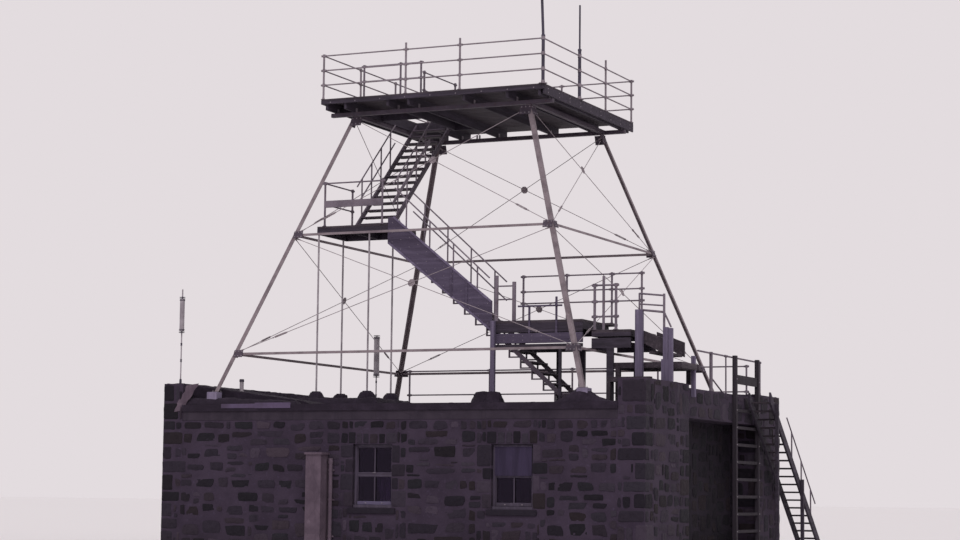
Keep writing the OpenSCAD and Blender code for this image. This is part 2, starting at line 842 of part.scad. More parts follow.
// Light board along the near side of the left part, with two uprights and a short rail
module lower_landing_side_board() {
    top = lower_landing_z - deck_board_t;
    t = 25;
    board = [top - 450, top - 230];
    y = [landing_outer_y - t, landing_outer_y];
    color("#8b7f99") at_feet() union() {
        block(landing_left, [y[0], landing_outer_y + landing_beam_t], board);
        for (post = [[2660, 1900], [3310, 2090]]) {
            block([post[0] - 25, post[0] + 25], y, [board[0], post[1]]);
        }
        block([2390, 3460], [y[0] - t, y[0]], [1870, 1910]);
    }
}

module lower_landing_rails() {
    far = lower_landing_far_y - 30;
    near = landing_outer_y + 30;
    right = 4720;
    far_x = [1820, 2900, 4000, right];
    far_top = 2740;
    stub = [[1840, 2600], [2270, 2450]];
    low_posts = [[4200, 2330], [4410, 2510], [4700, 2330]];
    color("#5a4e5b") at_feet() {
        union() {
            for (x = far_x) {
                rod([x, far, x == right ? landing_right_z : lower_landing_z], [x, far, far_top], 48, 12);
            }
            for (z = [2100, 2370, 2720]) rod([far_x[0], far, z], [right, far, z], rail_d);
        }
        union() {
            for (post = stub) rod([post[0], near, lower_landing_z], [post[0], near, post[1]], 90, 12);
            for (z = [2060, 2360]) rod([stub[0][0], near, z], [stub[1][0], near, z], rail_d);
        }
        union() {
            for (post = low_posts) rod([post[0], near, landing_right_z], [post[0], near, post[1]], 60, 12);
            for (z = [1620, 1950, 2310]) rod([low_posts[0][0], near, z], [low_posts[2][0], near, z], 42);
        }
    }
}

end_post_w = 100;
end_post_x = 1810;

// The post at the left end stands outside the landing's beams on a mounded footing
module lower_landing_end_post() {
    w = end_post_w;
    color("#8b7f99") at_feet() block([end_post_x - w / 2, end_post_x + w / 2],
        [landing_outer_y - w - 25, landing_outer_y - 25], [roof_level + mound_h, lower_landing_z]);
}

// Each post under the beams is [middle along X, width]
module lower_landing_posts() {
    near = [landing_outer_y, landing_outer_y + landing_beam_t];
    far = [lower_landing_far_y - 90, lower_landing_far_y];
    left_top = lower_landing_z - deck_board_t - 550;
    right_top = landing_right_z - deck_board_t - 340;
    color("#43394a") at_feet() {
        landing_post([3390, 60], near, left_top);
        landing_post([4570, 160], near, right_top);
        for (p = [[2720, 90], [3290, 150]]) landing_post(p, far, left_top);
        landing_post([4600, 100], far, right_top);
    }
}

module landing_post(p, y, top) {
    block([p[0] - p[1] / 2, p[0] + p[1] / 2], y, [roof_level, top]);
}

// Broad steps from the lower landing down to a side deck, which is notched for a post of the wall

module side_stair_treads() {
    y = [-2900, -1600];
    wall_top = end_wall_top - foot_z;
    leg = 100;
    low_board = [[5100, 1160], [5350, 1000], [5750, 800]];
    color("#4a3f4d") at_feet() {
        block([5110, 5420], y, [1040, 1100]);
        block([5400, 5710], y, [800, 860]);
        for (edge = [y[0] - 2, y[1] + 62]) {
            translate([0, edge, 0]) rotate([90, 0, 0]) linear_extrude(60)
                polygon(concat([[5100, 1380]], low_board, [[5750, 1130]]));
        }
        union() {
            difference() {
                block([4560, 6150], y, [side_deck_z - 130, side_deck_z]);
                block([right_x - fit_gap, 6151], [-1870, -1770], [side_deck_z - 131, side_deck_z + 1]);
            }
            for (leg_y = [y[0], y[1] - leg]) {
                block([4620, 4620 + leg], [leg_y, leg_y + leg], [roof_level, side_deck_z - 100]);
                block([5830, 5830 + leg], [leg_y, leg_y + leg], [wall_top, side_deck_z - 100]);
            }
        }
        union() {
            block([4560, 5560], [-3260, -3114], [wall_top, 290]);
            block([4560, 4640], [-3260, -3180], [roof_level, 200]);
        }
    }
}

// Light posts at the foot and head of the steps, and one on the outside of the right wall
module side_stair_posts() {
    y = [-3074, -2964];
    wall_top = end_wall_top - foot_z;
    color("#8d8293") at_feet() {
        block([5135, 5305], y, [roof_level, 1760]);
        union() {
            block([5740, 5985], y, [wall_top, 670]);
            block([5780, 5890], y, [600, 1360]);
            block([5905, 5985], y, [600, 1340]);
        }
        block([right_x, right_x + 90], [-1865, -1775], [-100, 810]);
    }
}

module side_stair_rails() {
    y = -3019;
    color("#5a4e5b") at_feet() union() {
        rod([5220, y, 2110], [5790, y, 2050], 42);
        rod([5220, y, 1880], [5790, y, 1830], 36);
        rod([5220, y, 1760], [5220, y, 2120], 42, 12);
        rod([5308, y, 1745], [5790, y, 1690], 50);
        rod([5790, y, 1690], [5950, y, 1362], 42);
        rod([5790, y, 1360], [5790, y, 2090], 54, 12);
    }
}

// Outside flight beside the right wall, from the ground up to the top of the wall

outer_slope = 0.85;
outer_top_y = 1900;
outer_rise = end_wall_top / outer_rises;
outer_run = end_wall_top / outer_slope;
outer_going = outer_run / outer_rises;
outer_x = [right_x + 110, right_x + 110 + outer_flight_w];
outer_foot_y = outer_top_y + outer_run;

module outer_stair_stringers() {
    color("#5a4d5b") for (x = [outer_x[0] + stringer_t, outer_x[1]]) {
        translate([x, outer_foot_y, 0]) rotate([90, 0, -90]) linear_extrude(stringer_t)
            stringer_outline(outer_run, end_wall_top, 260);
    }
    post_y = [outer_top_y + 300, 4260];
    color("#4f4453") for (y = post_y) {
        block([outer_x[1] + fit_gap, outer_x[1] + fit_gap + 80], [y, y + 80],
            [0, (outer_foot_y - y) * outer_slope]);
    }
}

module outer_stair_treads() {
    x = [outer_x[0] + stringer_t, outer_x[1] - stringer_t];
    color("#4e4350") for (i = [1 : outer_rises - 1]) {
        y = outer_foot_y - (i + 0.45) * outer_going;
        z = i * outer_rise - 30;
        block(x, [y, y + outer_going + 20], [z - tread_t, z]);
    }
}

module outer_stair_rail() {
    x = outer_x[1] - stringer_t / 2;
    rail_rise = 600;
    y = [outer_top_y + 1350, outer_foot_y - 700];
    color("#5a4e5b") slope_rail([x, y[0], (outer_foot_y - y[0]) * outer_slope],
        [x, y[1], (outer_foot_y - y[1]) * outer_slope], 3, [rail_rise], rail_d, 0);
}

front_wall();
back_wall();
left_wall();
right_wall_front();
right_wall_back();
porch_wall();
porch_lintel();
ring_beams();
ground_floor();
roof_slab();
roof_edge();
window_frames();
window_glass();
flue();
leg_footings();
post_footings();
roof_pipes();
wall_ladder();
roof_rail_right();
roof_rail_back();
tower_legs();
tower_rings();
braces_front();
braces_right();
braces_back();
braces_left();
joint_plates();
platform_beams();
platform_joists();
platform_fascia();
platform_deck();
platform_rail_front();
platform_rail_right();
platform_rail_back();
platform_rail_left();
stair_guard();
masts();
upper_stair_stringers();
upper_stair_treads();
upper_stair_rails();
upper_landing_deck();
upper_landing_frame();
upper_landing_rail();
upper_landing_posts();
lower_stair_stringers();
lower_stair_treads();
lower_stair_side_board();
lower_stair_rails();
lower_landing_deck();
lower_landing_frame();
lower_landing_side_board();
lower_landing_rails();
lower_landing_posts();
lower_landing_end_post();
side_stair_treads();
side_stair_posts();
side_stair_rails();
outer_stair_stringers();
outer_stair_treads();
outer_stair_rail();
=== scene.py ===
"""Looks of the fire lookout tower: rubble stones, materials, fittings and the photograph's view."""

import json
import math
import random

import bpy
import numpy as np
from mathutils import Matrix, Vector


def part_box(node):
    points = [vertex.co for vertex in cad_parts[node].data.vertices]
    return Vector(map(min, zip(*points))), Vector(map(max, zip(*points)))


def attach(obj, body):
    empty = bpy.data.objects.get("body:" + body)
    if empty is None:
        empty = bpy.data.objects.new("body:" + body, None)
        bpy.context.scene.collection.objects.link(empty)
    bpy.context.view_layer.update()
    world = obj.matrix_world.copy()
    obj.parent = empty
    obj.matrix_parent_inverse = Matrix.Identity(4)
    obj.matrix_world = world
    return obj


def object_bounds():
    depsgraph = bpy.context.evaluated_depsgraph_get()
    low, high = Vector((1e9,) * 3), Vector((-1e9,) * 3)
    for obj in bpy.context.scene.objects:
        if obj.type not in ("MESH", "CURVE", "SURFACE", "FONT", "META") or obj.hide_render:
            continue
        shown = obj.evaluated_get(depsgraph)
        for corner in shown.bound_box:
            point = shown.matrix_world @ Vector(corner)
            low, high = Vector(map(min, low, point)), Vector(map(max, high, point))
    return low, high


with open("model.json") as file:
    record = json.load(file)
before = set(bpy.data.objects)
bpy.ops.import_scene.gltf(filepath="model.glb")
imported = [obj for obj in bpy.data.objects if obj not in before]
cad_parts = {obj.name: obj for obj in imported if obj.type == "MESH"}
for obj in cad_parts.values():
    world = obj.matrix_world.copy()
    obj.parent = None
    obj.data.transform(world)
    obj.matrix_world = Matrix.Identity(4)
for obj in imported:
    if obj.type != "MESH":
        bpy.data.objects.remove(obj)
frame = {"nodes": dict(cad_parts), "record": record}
cad_box = [list(corner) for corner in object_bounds()]
BODY = "root"
EAST, WEST, NORTH, SOUTH, UP = (1, 0, 0), (-1, 0, 0), (0, 1, 0), (0, -1, 0), (0, 0, 1)


# Driving sizes, in metres, shared with the part's frame

FRONT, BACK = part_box("front_wall")[0].y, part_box("back_wall")[1].y
LEFT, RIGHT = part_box("left_wall")[0].x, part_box("right_wall_front")[1].x
LEFT_IN, RIGHT_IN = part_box("left_wall")[1].x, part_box("right_wall_front")[0].x
END_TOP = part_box("left_wall")[1].z
WALL_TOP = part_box("front_wall")[1].z
ROOF_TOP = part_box("roof_slab")[1].z
PORCH_NEAR, PORCH_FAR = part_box("right_wall_front")[1].y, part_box("right_wall_back")[0].y
PORCH_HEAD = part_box("porch_lintel")[0].z
LINTEL_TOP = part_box("porch_lintel")[1].z
FLOOR_TOP, DOOR_Y, DOOR_W, DOOR_H = 0.15, -0.9, 0.95, 2.08
WINDOW_X = (-0.36, 2.985)
WINDOW_W, WINDOW_H, SILL_Z = 0.97, 1.39, 1.01
REVEAL = 0.2

FOOT_HALF, TOP_HALF, TOP_Z = 4.55, 2.286, 6.6
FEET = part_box("leg_footings")[1].z + 0.012
LEAN = math.atan((FOOT_HALF - TOP_HALF) / TOP_Z)
RINGS, PANELS = (0.88, 3.7), (0.88, 3.7, 6.6)
FLANGE_T, STRUT_T, PLATE_T, ROD_R = 0.012, 0.008, 0.008, 0.008
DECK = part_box("platform_deck")[1].z
DECK_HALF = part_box("platform_deck")[1].x
UPPER, LOWER, LOWER_RIGHT = FEET + 3.9, FEET + 1.58, FEET + 1.33
SIDE_MAST_Y = -0.62
VENT = (-4.22, -3.9)


# Colour and material helpers

def rgb(code):
    """A linear colour from an sRGB hex code."""
    parts = [int(code[i:i + 2], 16) / 255 for i in (1, 3, 5)]
    return (*(c / 12.92 if c <= 0.04045 else ((c + 0.055) / 1.055) ** 2.4 for c in parts), 1.0)


class Finish:
    """A material being built: each colour and each relief is laid over those given before it."""

    def __init__(self, name, roughness, base=None):
        self.material = bpy.data.materials.new(name)
        self.material.use_nodes = True
        self.nodes, self.links = self.material.node_tree.nodes, self.material.node_tree.links
        self.shader = self.nodes["Principled BSDF"]
        self.shader.inputs["Roughness"].default_value = roughness
        self.shader.inputs["Specular IOR Level"].default_value = 0.25 if roughness > 0.84 else 0.4
        self.place = self.node("TexCoord").outputs["Object"]
        self.tone = base and rgb(base)
        self.relief = None

    def node(self, kind, inputs=(), **settings):
        """A new node. inputs pairs its sockets with numbers, colours or other nodes' outputs."""
        node = self.nodes.new("ShaderNode" + kind)
        for key, value in settings.items():
            setattr(node, key, value)
        for key, value in dict(inputs).items():
            if isinstance(value, (int, float, tuple)):
                node.inputs[key].default_value = value
            else:
                self.links.new(value, node.inputs[key])
        return node

    def scaled(self, stretch):
        return self.node("Mapping", {"Scale": stretch, "Vector": self.place}).outputs["Vector"]

    def noise(self, scale, detail, rough, stretch=(1, 1, 1), distort=0.0):
        return self.node("TexNoise", {
            "Scale": scale, "Detail": detail, "Roughness": rough, "Distortion": distort,
            "Vector": self.scaled(stretch)}).outputs["Fac"]

    def cells(self, scale, feature="F1"):
        return self.node("TexVoronoi", {"Scale": scale, "Vector": self.scaled((1, 1, 1))},
                         feature=feature).outputs["Distance"]

    def attribute(self, name):
        return self.node("Attribute", attribute_name=name).outputs["Fac"]

    def vertical(self, vector):
        return self.node("SeparateXYZ", {0: vector}).outputs[2]

    def facing_up(self):
        """1 on surfaces that face up, 0 on walls and undersides."""
        return self.spread(self.vertical(self.node("NewGeometry").outputs["Normal"]), 0.35, 0.85)

    def spread(self, value, low, high, to_low=0.0, to_high=1.0):
        """A soft step from to_low to to_high, where value passes from low to high."""
        return self.node("MapRange", {
            "Value": value, "From Min": low, "From Max": high, "To Min": to_low, "To Max": to_high},
            interpolation_type="SMOOTHSTEP").outputs["Result"]

    def sum(self, a, b, how="ADD"):
        return self.node("Math", {0: a, 1: b}, operation=how).outputs[0]

    def ramp(self, value, stops):
        node = self.node("ValToRGB", {"Fac": value})
        while len(node.color_ramp.elements) < len(stops):
            node.color_ramp.elements.new(0.5)
        for element, (position, code) in zip(node.color_ramp.elements, stops):
            element.position, element.color = position, rgb(code)
        self.tone = node.outputs["Color"]

    def lay(self, code, factor):
        """Mixes a colour in by a factor."""
        mix = self.node("Mix", data_type="RGBA")
        for key, value in ((0, factor), (6, self.tone), (7, rgb(code))):
            if isinstance(value, tuple):
                mix.inputs[key].default_value = value
            else:
                self.links.new(value, mix.inputs[key])
        self.tone = mix.outputs[2]
        self.links.new(self.tone, self.shader.inputs["Base Color"])

    def tint(self, code, value, low, high, amount=1.0, least=0.0):
        """Mixes a colour in where value passes from low to high."""
        self.lay(code, self.spread(value, low, high, least, amount))

    def rough(self, value, low, high):
        self.links.new(self.spread(value, 0.2, 0.8, low, high), self.shader.inputs["Roughness"])

    def bump(self, value, distance, strength):
        node = self.node("Bump", {"Distance": distance, "Strength": strength, "Height": value})
        if self.relief:
            self.links.new(self.relief, node.inputs["Normal"])
        self.relief = node.outputs["Normal"]
        self.links.new(self.relief, self.shader.inputs["Normal"])


# Materials

def stone_finish():
    """Split stones: each has its own tone, with mottling, pale lichen and a rough split face."""
    f = Finish("rubble_stone", 0.88)
    f.ramp(f.attribute("tone"), (
        (0.0, "#120d16"), (0.2, "#1a141f"), (0.35, "#231c28"), (0.6, "#2c2431"), (0.8, "#342b38"),
        (1.0, "#413645")))
    f.tint("#35282a", f.attribute("hue"), 0.55, 1.0, 0.32)
    f.tint("#29282f", f.attribute("hue"), 0.35, 0.0, 0.3)
    mottle, grain = f.noise(9, 8, 0.68), f.noise(70, 6, 0.7)
    f.tint("#140f17", mottle, 0.5, 0.72, 0.45)
    f.tint("#4d4352", f.noise(23, 7, 0.7, distort=0.6), 0.6, 0.78, 0.4)
    f.tint("#0e0910", grain, 0.52, 0.75, 0.35)
    f.tint("#1a1616", f.vertical(f.place), 0.55, 0.0, 0.4)
    f.rough(mottle, 0.78, 0.95)
    f.bump(f.noise(11, 8, 0.6, distort=0.8), 0.018, 0.75)
    f.bump(grain, 0.004, 0.7)
    return f.material


def mortar_finish(name, shade=0.0):
    """Flush pointing: sandy, darker towards the bottom; shade lays painted shade over it, as in the porch."""
    f = Finish(name, 0.92, "#3b3040")
    stain, sand = f.noise(1.1, 6, 0.6), f.noise(160, 4, 0.7)
    f.tint("#2f2534", stain, 0.35, 0.68)
    f.tint("#493e55", f.noise(14, 6, 0.65), 0.55, 0.75, 0.5)
    f.tint("#1d1721", sand, 0.55, 0.8, 0.35)
    # Darker towards the bottom of the wall.
    f.tint("#1e191b", f.vertical(f.place), 0.6, 0.0, 0.45)
    # shade lays a dark tint over the mortar: painted shade for the porch recess.
    if shade:
        f.tint("#0d0a11", stain, 0.3, 0.7, shade, shade - 0.15)
    f.bump(f.noise(18, 6, 0.6), 0.012, 0.7)
    f.bump(sand, 0.002, 0.8)
    return f.material


def render_finish(name, base, dark, pale, streaks):
    """Smooth cement work: clouded, with rain streaks, hairline cracks and small pits."""
    f = Finish(name, 0.85, base)
    cloud = f.noise(1.7, 7, 0.62)
    f.tint(dark, cloud, 0.38, 0.7, 0.8)
    f.tint(pale, f.noise(6, 7, 0.7), 0.56, 0.74, 0.6)
    f.tint(dark, f.noise(7, 5, 0.6, (1, 1, 0.12)), 0.5, 0.72, streaks)
    crack = f.spread(f.cells(1.3, "DISTANCE_TO_EDGE"), 0.0, 0.012, 1.0, 0.0)
    f.lay(dark, f.sum(crack, 0.5, "MULTIPLY"))
    f.rough(cloud, 0.77, 0.93)
    f.bump(f.sum(crack, -1.0, "MULTIPLY"), 0.003, 0.5)
    f.bump(f.noise(40, 6, 0.65), 0.004, 0.6)
    return f.material


def roof_finish():
    """Tarred grit: nearly black, with grey grit worn through and dust in the hollows."""
    f = Finish("roof_covering", 0.93, "#291f2e")
    grit = f.cells(95)
    f.tint("#392e3f", f.noise(2.3, 7, 0.65), 0.42, 0.68)
    f.tint("#524660", f.noise(60, 5, 0.7), 0.58, 0.76, 0.5)
    f.tint("#18131a", grit, 0.25, 0.6, 0.6)
    f.bump(f.noise(5, 6, 0.6), 0.02, 0.6)
    f.bump(grit, 0.006, 0.8)
    return f.material


def paint_finish(name, base, dark, pale, rust=0.5, roughness=0.62):
    """Old paint on steel: chalked where it faces up, rust in spots and runs, fine orange-peel relief."""
    f = Finish(name, roughness, base)
    cloud, spots = f.noise(2.6, 7, 0.6), f.noise(27, 8, 0.7)
    runs = f.noise(19, 6, 0.65, (1, 1, 0.1))
    f.tint(dark, cloud, 0.4, 0.68, 0.85)
    f.lay(pale, f.sum(f.facing_up(), f.spread(cloud, 0.35, 0.7, 0.3, 0.75), "MULTIPLY"))
    f.tint(pale, f.noise(8, 6, 0.6), 0.6, 0.78, 0.45)
    rusty = f.spread(f.sum(spots, f.sum(runs, 0.35, "MULTIPLY")), 0.74, 0.86, 0.0, rust)
    f.lay("#5c3a2a", rusty)
    f.rough(spots, roughness - 0.1, roughness + 0.22)
    f.bump(f.noise(130, 4, 0.6), 0.0008, 0.6)
    f.bump(rusty, 0.0012, 0.6)
    return f.material


def timber_finish(name, base, dark, pale, along, painted=0.0, roughness=0.82):
    """Boards with grain, checks and knots along their length; each board has its own tone."""
    f = Finish(name, roughness, base)
    stretch, long = (tuple(k if axis == along else 1 for axis in "xyz") for k in (0.06, 0.024))
    grain, wide = f.noise(75, 6, 0.62, stretch, 0.35), f.noise(13, 5, 0.55, stretch, 0.5)
    f.tint(dark, f.node("NewGeometry").outputs["Random Per Island"], 0.0, 1.0, 0.5)
    f.tint(pale, wide, 0.45, 0.72, 0.6)
    f.tint(dark, grain, 0.5, 0.7, 0.75 - 0.5 * painted)
    f.lay(pale, f.sum(f.facing_up(), 0.35, "MULTIPLY"))
    f.tint(dark, f.noise(1.6, 6, 0.6), 0.5, 0.75, 0.45)
    f.rough(grain, roughness - 0.08, roughness + 0.1)
    f.bump(wide, 0.003, 0.5)
    check = f.spread(f.noise(210, 4, 0.6, long), 0.6, 0.68, 0.0, 0.8)
    f.bump(f.sum(grain, check, "SUBTRACT"), 0.0025, 0.75)
    return f.material


def glass_finish():
    """Old window glass: clear, slightly wavy, with a film of dust."""
    f = Finish("glass", 0.05, "#786f80")
    dust = f.noise(5, 7, 0.7)
    f.tint("#575060", dust, 0.45, 0.75, 0.7)
    f.shader.inputs["Transmission Weight"].default_value = 1.0
    f.shader.inputs["IOR"].default_value = 1.45
    f.shader.inputs["Specular Tint"].default_value = (0.44, 0.35, 0.56, 1)
    f.rough(dust, 0.0, 0.03)
    f.bump(f.noise(3.5, 3, 0.5), 0.002, 0.3)
    return f.material


def cloth_finish(name, base, painted_fold_shade, faded):
    """Faded cotton with soft folds, darker along the folds as painted shade."""
    f = Finish(name, 0.9, base)
    fold = f.noise(9, 4, 0.5, (1, 1, 0.08))
    # Painted shade along the folds.
    f.tint(painted_fold_shade, fold, 0.38, 0.66)
    f.tint(faded, f.noise(3, 5, 0.6), 0.55, 0.75, 0.5)
    f.bump(fold, 0.01, 0.8)
    f.bump(f.noise(400, 2, 0.5), 0.0005, 0.5)
    return f.material


# Each row is a name with its base, dark and pale tones and what else its finish takes; a cloth's dark tone is
# painted shade in its folds
TABLE = (
    (render_finish, (
        ("beam_render", "#352c38", "#27202b", "#423847", 0.6),
        ("floor_concrete", "#5b525a", "#40373f", "#746a72", 0.2),
        ("footing_concrete", "#7c7189", "#584e61", "#948aa0", 0.4),
        ("flue_render", "#5d4e5b", "#443844", "#716270", 0.6))),
    (paint_finish, (
        ("tower_steel", "#7b6e75", "#5c5057", "#94888e"),
        ("rod_steel", "#8d8188", "#6b6067", "#a59aa1", 0.35),
        ("rail_steel", "#6d626e", "#504653", "#887d8a"),
        ("pale_rail_steel", "#81767f", "#61575f", "#998e97", 0.4),
        ("grey_steel", "#9a9199", "#766d76", "#b0a8b0", 0.3),
        ("dark_steel", "#473c4a", "#332a36", "#5f5362"),
        ("mast_steel", "#3d3748", "#2b2634", "#544d60", 0.3),
        ("vent_paint", "#3a2b2d", "#281d20", "#4a393b"),
        ("flashing_metal", "#4e3f5c", "#3b2e44", "#655574", 0.2, 0.5),
        ("galvanised_metal", "#857b85", "#615861", "#9f969f", 0.45, 0.5))),
    (timber_finish, (
        ("window_paint", "#423849", "#2e2635", "#554a5e", "z", 1.0, 0.6),
        ("bright_paint", "#5c526f", "#443b55", "#6d6380", "x", 1.0, 0.55),
        ("deck_timber", "#3b313a", "#272029", "#564b55", "x"),
        ("deck_timber_y", "#3b313a", "#272029", "#564b55", "y"),
        ("dark_timber", "#322a37", "#211a25", "#483e4f", "x"),
        ("dark_timber_y", "#322a37", "#211a25", "#483e4f", "y"),
        ("light_timber", "#60566d", "#463c51", "#786d86", "z", 0.6),
        ("side_board_timber", "#493f54", "#362c3f", "#5d5269", "x", 0.6),
        ("side_board_cover_paint", "#655a73", "#4a3f57", "#7b708a", "x", 0.8),
        ("weathered_timber", "#28202a", "#19131b", "#3a323e", "z"))),
    (cloth_finish, (
        ("blind_cloth", "#352c43", "#2b2337", "#3e354d"),
        # The back windows' blinds: the blind cloth darkened as painted shade.
        ("blind_cloth_painted_shade", "#2b2530", "#201b25", "#38303e"),
        ("curtain_cloth", "#9780b6", "#7a6699", "#a893c2"))),
)
LOOKS = {row[0]: finish(*row) for finish, rows in TABLE for row in rows}
LOOKS["rubble_stone"] = mortar_finish("wall_mortar")
# The porch's mortar, darkened as painted shade.
LOOKS["porch_mortar_painted_shade"] = mortar_finish("porch_mortar_painted_shade", 0.72)
LOOKS["split_stone"] = stone_finish()
LOOKS["roof_covering"] = roof_finish()
LOOKS["glass"] = glass_finish()

# CAD nodes that take another look than their slot's, and the slots whose edges are softened
SPECIAL = {
    "lower_stair_treads": "deck_timber_y", "side_stair_treads": "deck_timber_y",
    "platform_joists": "dark_timber_y", "outer_stair_stringers": "dark_timber_y",
    "lower_stair_side_board": "side_board_timber", "lower_landing_side_board": "side_board_timber",
    "upper_stair_stringers": "dark_steel", "lower_stair_stringers": "dark_steel",
    "platform_beams": "dark_steel", "joint_plates": "dark_steel",
    "platform_rail_front": "pale_rail_steel", "platform_rail_back": "pale_rail_steel",
    "platform_rail_left": "pale_rail_steel", "platform_rail_right": "pale_rail_steel",
    "masts": "mast_steel", "porch_wall": "porch_mortar_painted_shade",
}
BEVELS = {
    "beam_render": 0.012, "floor_concrete": 0.006, "footing_concrete": 0.018, "deck_timber": 0.006,
    "dark_timber": 0.006, "light_timber": 0.007, "weathered_timber": 0.007, "window_paint": 0.005,
}


def dress(node, look, bevel):
    """Gives a CAD node its material, and soft edges where bevel is over zero."""
    obj = frame["nodes"][node]
    obj.data.materials.clear()
    obj.data.materials.append(LOOKS[look])
    if bevel > 0:
        weld = obj.modifiers.new("weld", "WELD")
        weld.merge_threshold = 0.0002
        edge = obj.modifiers.new("soft_edges", "BEVEL")
        edge.width = bevel
        edge.segments = 2
        edge.limit_method = "ANGLE"
        edge.angle_limit = math.radians(40)
        edge.use_clamp_overlap = True


for part in frame["record"]["subparts"]:
    node_name, slot_name = part["node"], part["material_slot"]
    dress(node_name, SPECIAL.get(node_name, slot_name), BEVELS.get(slot_name, 0))


# Mesh helpers

def add_mesh(name, vertices, faces, look, smooth=False, attributes=None):
    """A piece from plain lists, riding on the building."""
    mesh = bpy.data.meshes.new(name)
    mesh.from_pydata([tuple(v) for v in vertices], [], faces)
    mesh.materials.append(LOOKS[look])
    for key, values in (attributes or {}).items():
        layer = mesh.attributes.new(key, "FLOAT", "POINT")
        layer.data.foreach_set("value", np.asarray(values, np.float32))
    if smooth:
        mesh.polygons.foreach_set("use_smooth", [True] * len(mesh.polygons))
    mesh.update()
    obj = bpy.data.objects.new(name, mesh)
    bpy.context.scene.collection.objects.link(obj)
    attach(obj, BODY)
    return obj


class Batch:
    """Collects many small shapes into one mesh."""

    def __init__(self):
        self.vertices, self.faces, self.extra = [], [], {}

    def add(self, vertices, faces, **values):
        start = len(self.vertices)
        self.vertices.extend(vertices)
        self.faces.extend([tuple(i + start for i in face) for face in faces])
        for key, value in values.items():
            self.extra.setdefault(key, []).extend([value] * len(vertices))

    def build(self, name, look, slot=None, smooth=False):
        """The piece, in its look's material. slot is not used."""
        return add_mesh(name, self.vertices, self.faces, look, smooth, self.extra)


def smooth_noise(points, scale, seed):
    """Soft value noise from -1 to 1 at an array of points."""
    p = points * scale + seed * 17.13
    base = np.floor(p).astype(np.int64)
    part = p - base
    part = part * part * (3 - 2 * part)
    total = np.zeros(len(p))
    for corner in range(8):
        step = np.array([(corner >> k) & 1 for k in range(3)])
        cell = base + step
        value = np.sin(cell[:, 0] * 127.1 + cell[:, 1] * 311.7 + cell[:, 2] * 74.7) * 43758.5453
        total += (value - np.floor(value)) * np.prod(np.where(step == 1, part, 1 - part), axis=1)
    return total * 2 - 1


def grid_faces(rows, columns):
    """Faces of a grid whose points run row by row."""
    return [(k, k + columns, k + columns + 1, k + 1)
            for i in range(rows - 1) for k in range(i * columns, (i + 1) * columns - 1)]


def four_round(radius):
    """Four points round a centre, between the axes."""
    turns = [math.pi / 4 + k * math.pi / 2 for k in range(4)]
    return [(radius * math.cos(a), radius * math.sin(a)) for a in turns]


# Rubble stones

CELL_W, CELL_H = 0.2, 0.162
SIZES = ((4, 3), (3, 3), (4, 2), (3, 2), (2, 3), (2, 2), (3, 1), (2, 1), (1, 2), (1, 1))
CHANCE = (6, 18, 7, 22, 18, 24, 2, 3, 1, 1)
TIGHT, JOINT = 0.004, (0.004, 0.024)
SINK, PROUD_MOST = 0.022, 0.04


def lines(length, step, stops, rng):
    """Grid lines with uneven spacing that pass exactly through the stops."""
    marks = sorted({0.0, length, *[s for s in stops if 0 < s < length]})
    out = [0.0]
    for a, b in zip(marks, marks[1:]):
        count = max(1, round((b - a) / step))
        inner = [a + (b - a) * (i + rng.uniform(-0.22, 0.22)) / count for i in range(1, count)]
        out.extend(inner + [b])
    return out


def stone_cells(width, height, holes, rng):
    """Packs stones of uneven sizes into a wall and returns their x0, x1, y0, y1."""
    xs = lines(width, CELL_W, [v for h in holes for v in (h[0], h[1])], rng)
    ys = lines(height, CELL_H, [v for h in holes for v in (h[2], h[3])], rng)
    taken = np.zeros((len(xs) - 1, len(ys) - 1), bool)
    for i in range(len(xs) - 1):
        for j in range(len(ys) - 1):
            x, y = (xs[i] + xs[i + 1]) / 2, (ys[j] + ys[j + 1]) / 2
            taken[i, j] = any(h[0] < x < h[1] and h[2] < y < h[3] for h in holes)
    stones = []
    for j in range(len(ys) - 1):
        for i in range(len(xs) - 1):
            if taken[i, j]:
                continue
            order = sorted(range(len(SIZES)), key=lambda k: rng.random() ** (1 / CHANCE[k]), reverse=True)
            for k in order + [len(SIZES) - 1]:
                w, h = SIZES[k]
                if i + w < len(xs) and j + h < len(ys) and not taken[i:i + w, j:j + h].any():
                    break
            taken[i:i + w, j:j + h] = True
            stones.append((xs[i], xs[i + w], ys[j], ys[j + h]))
    return stones


def stone_tone(rng):
    """Half the stones are of middle tone, three in ten are darker and two in ten paler."""
    return rng.choices((rng.uniform(0.0, 0.2), rng.uniform(0.28, 0.6), rng.uniform(0.6, 1.0)), (3, 5, 2))[0]


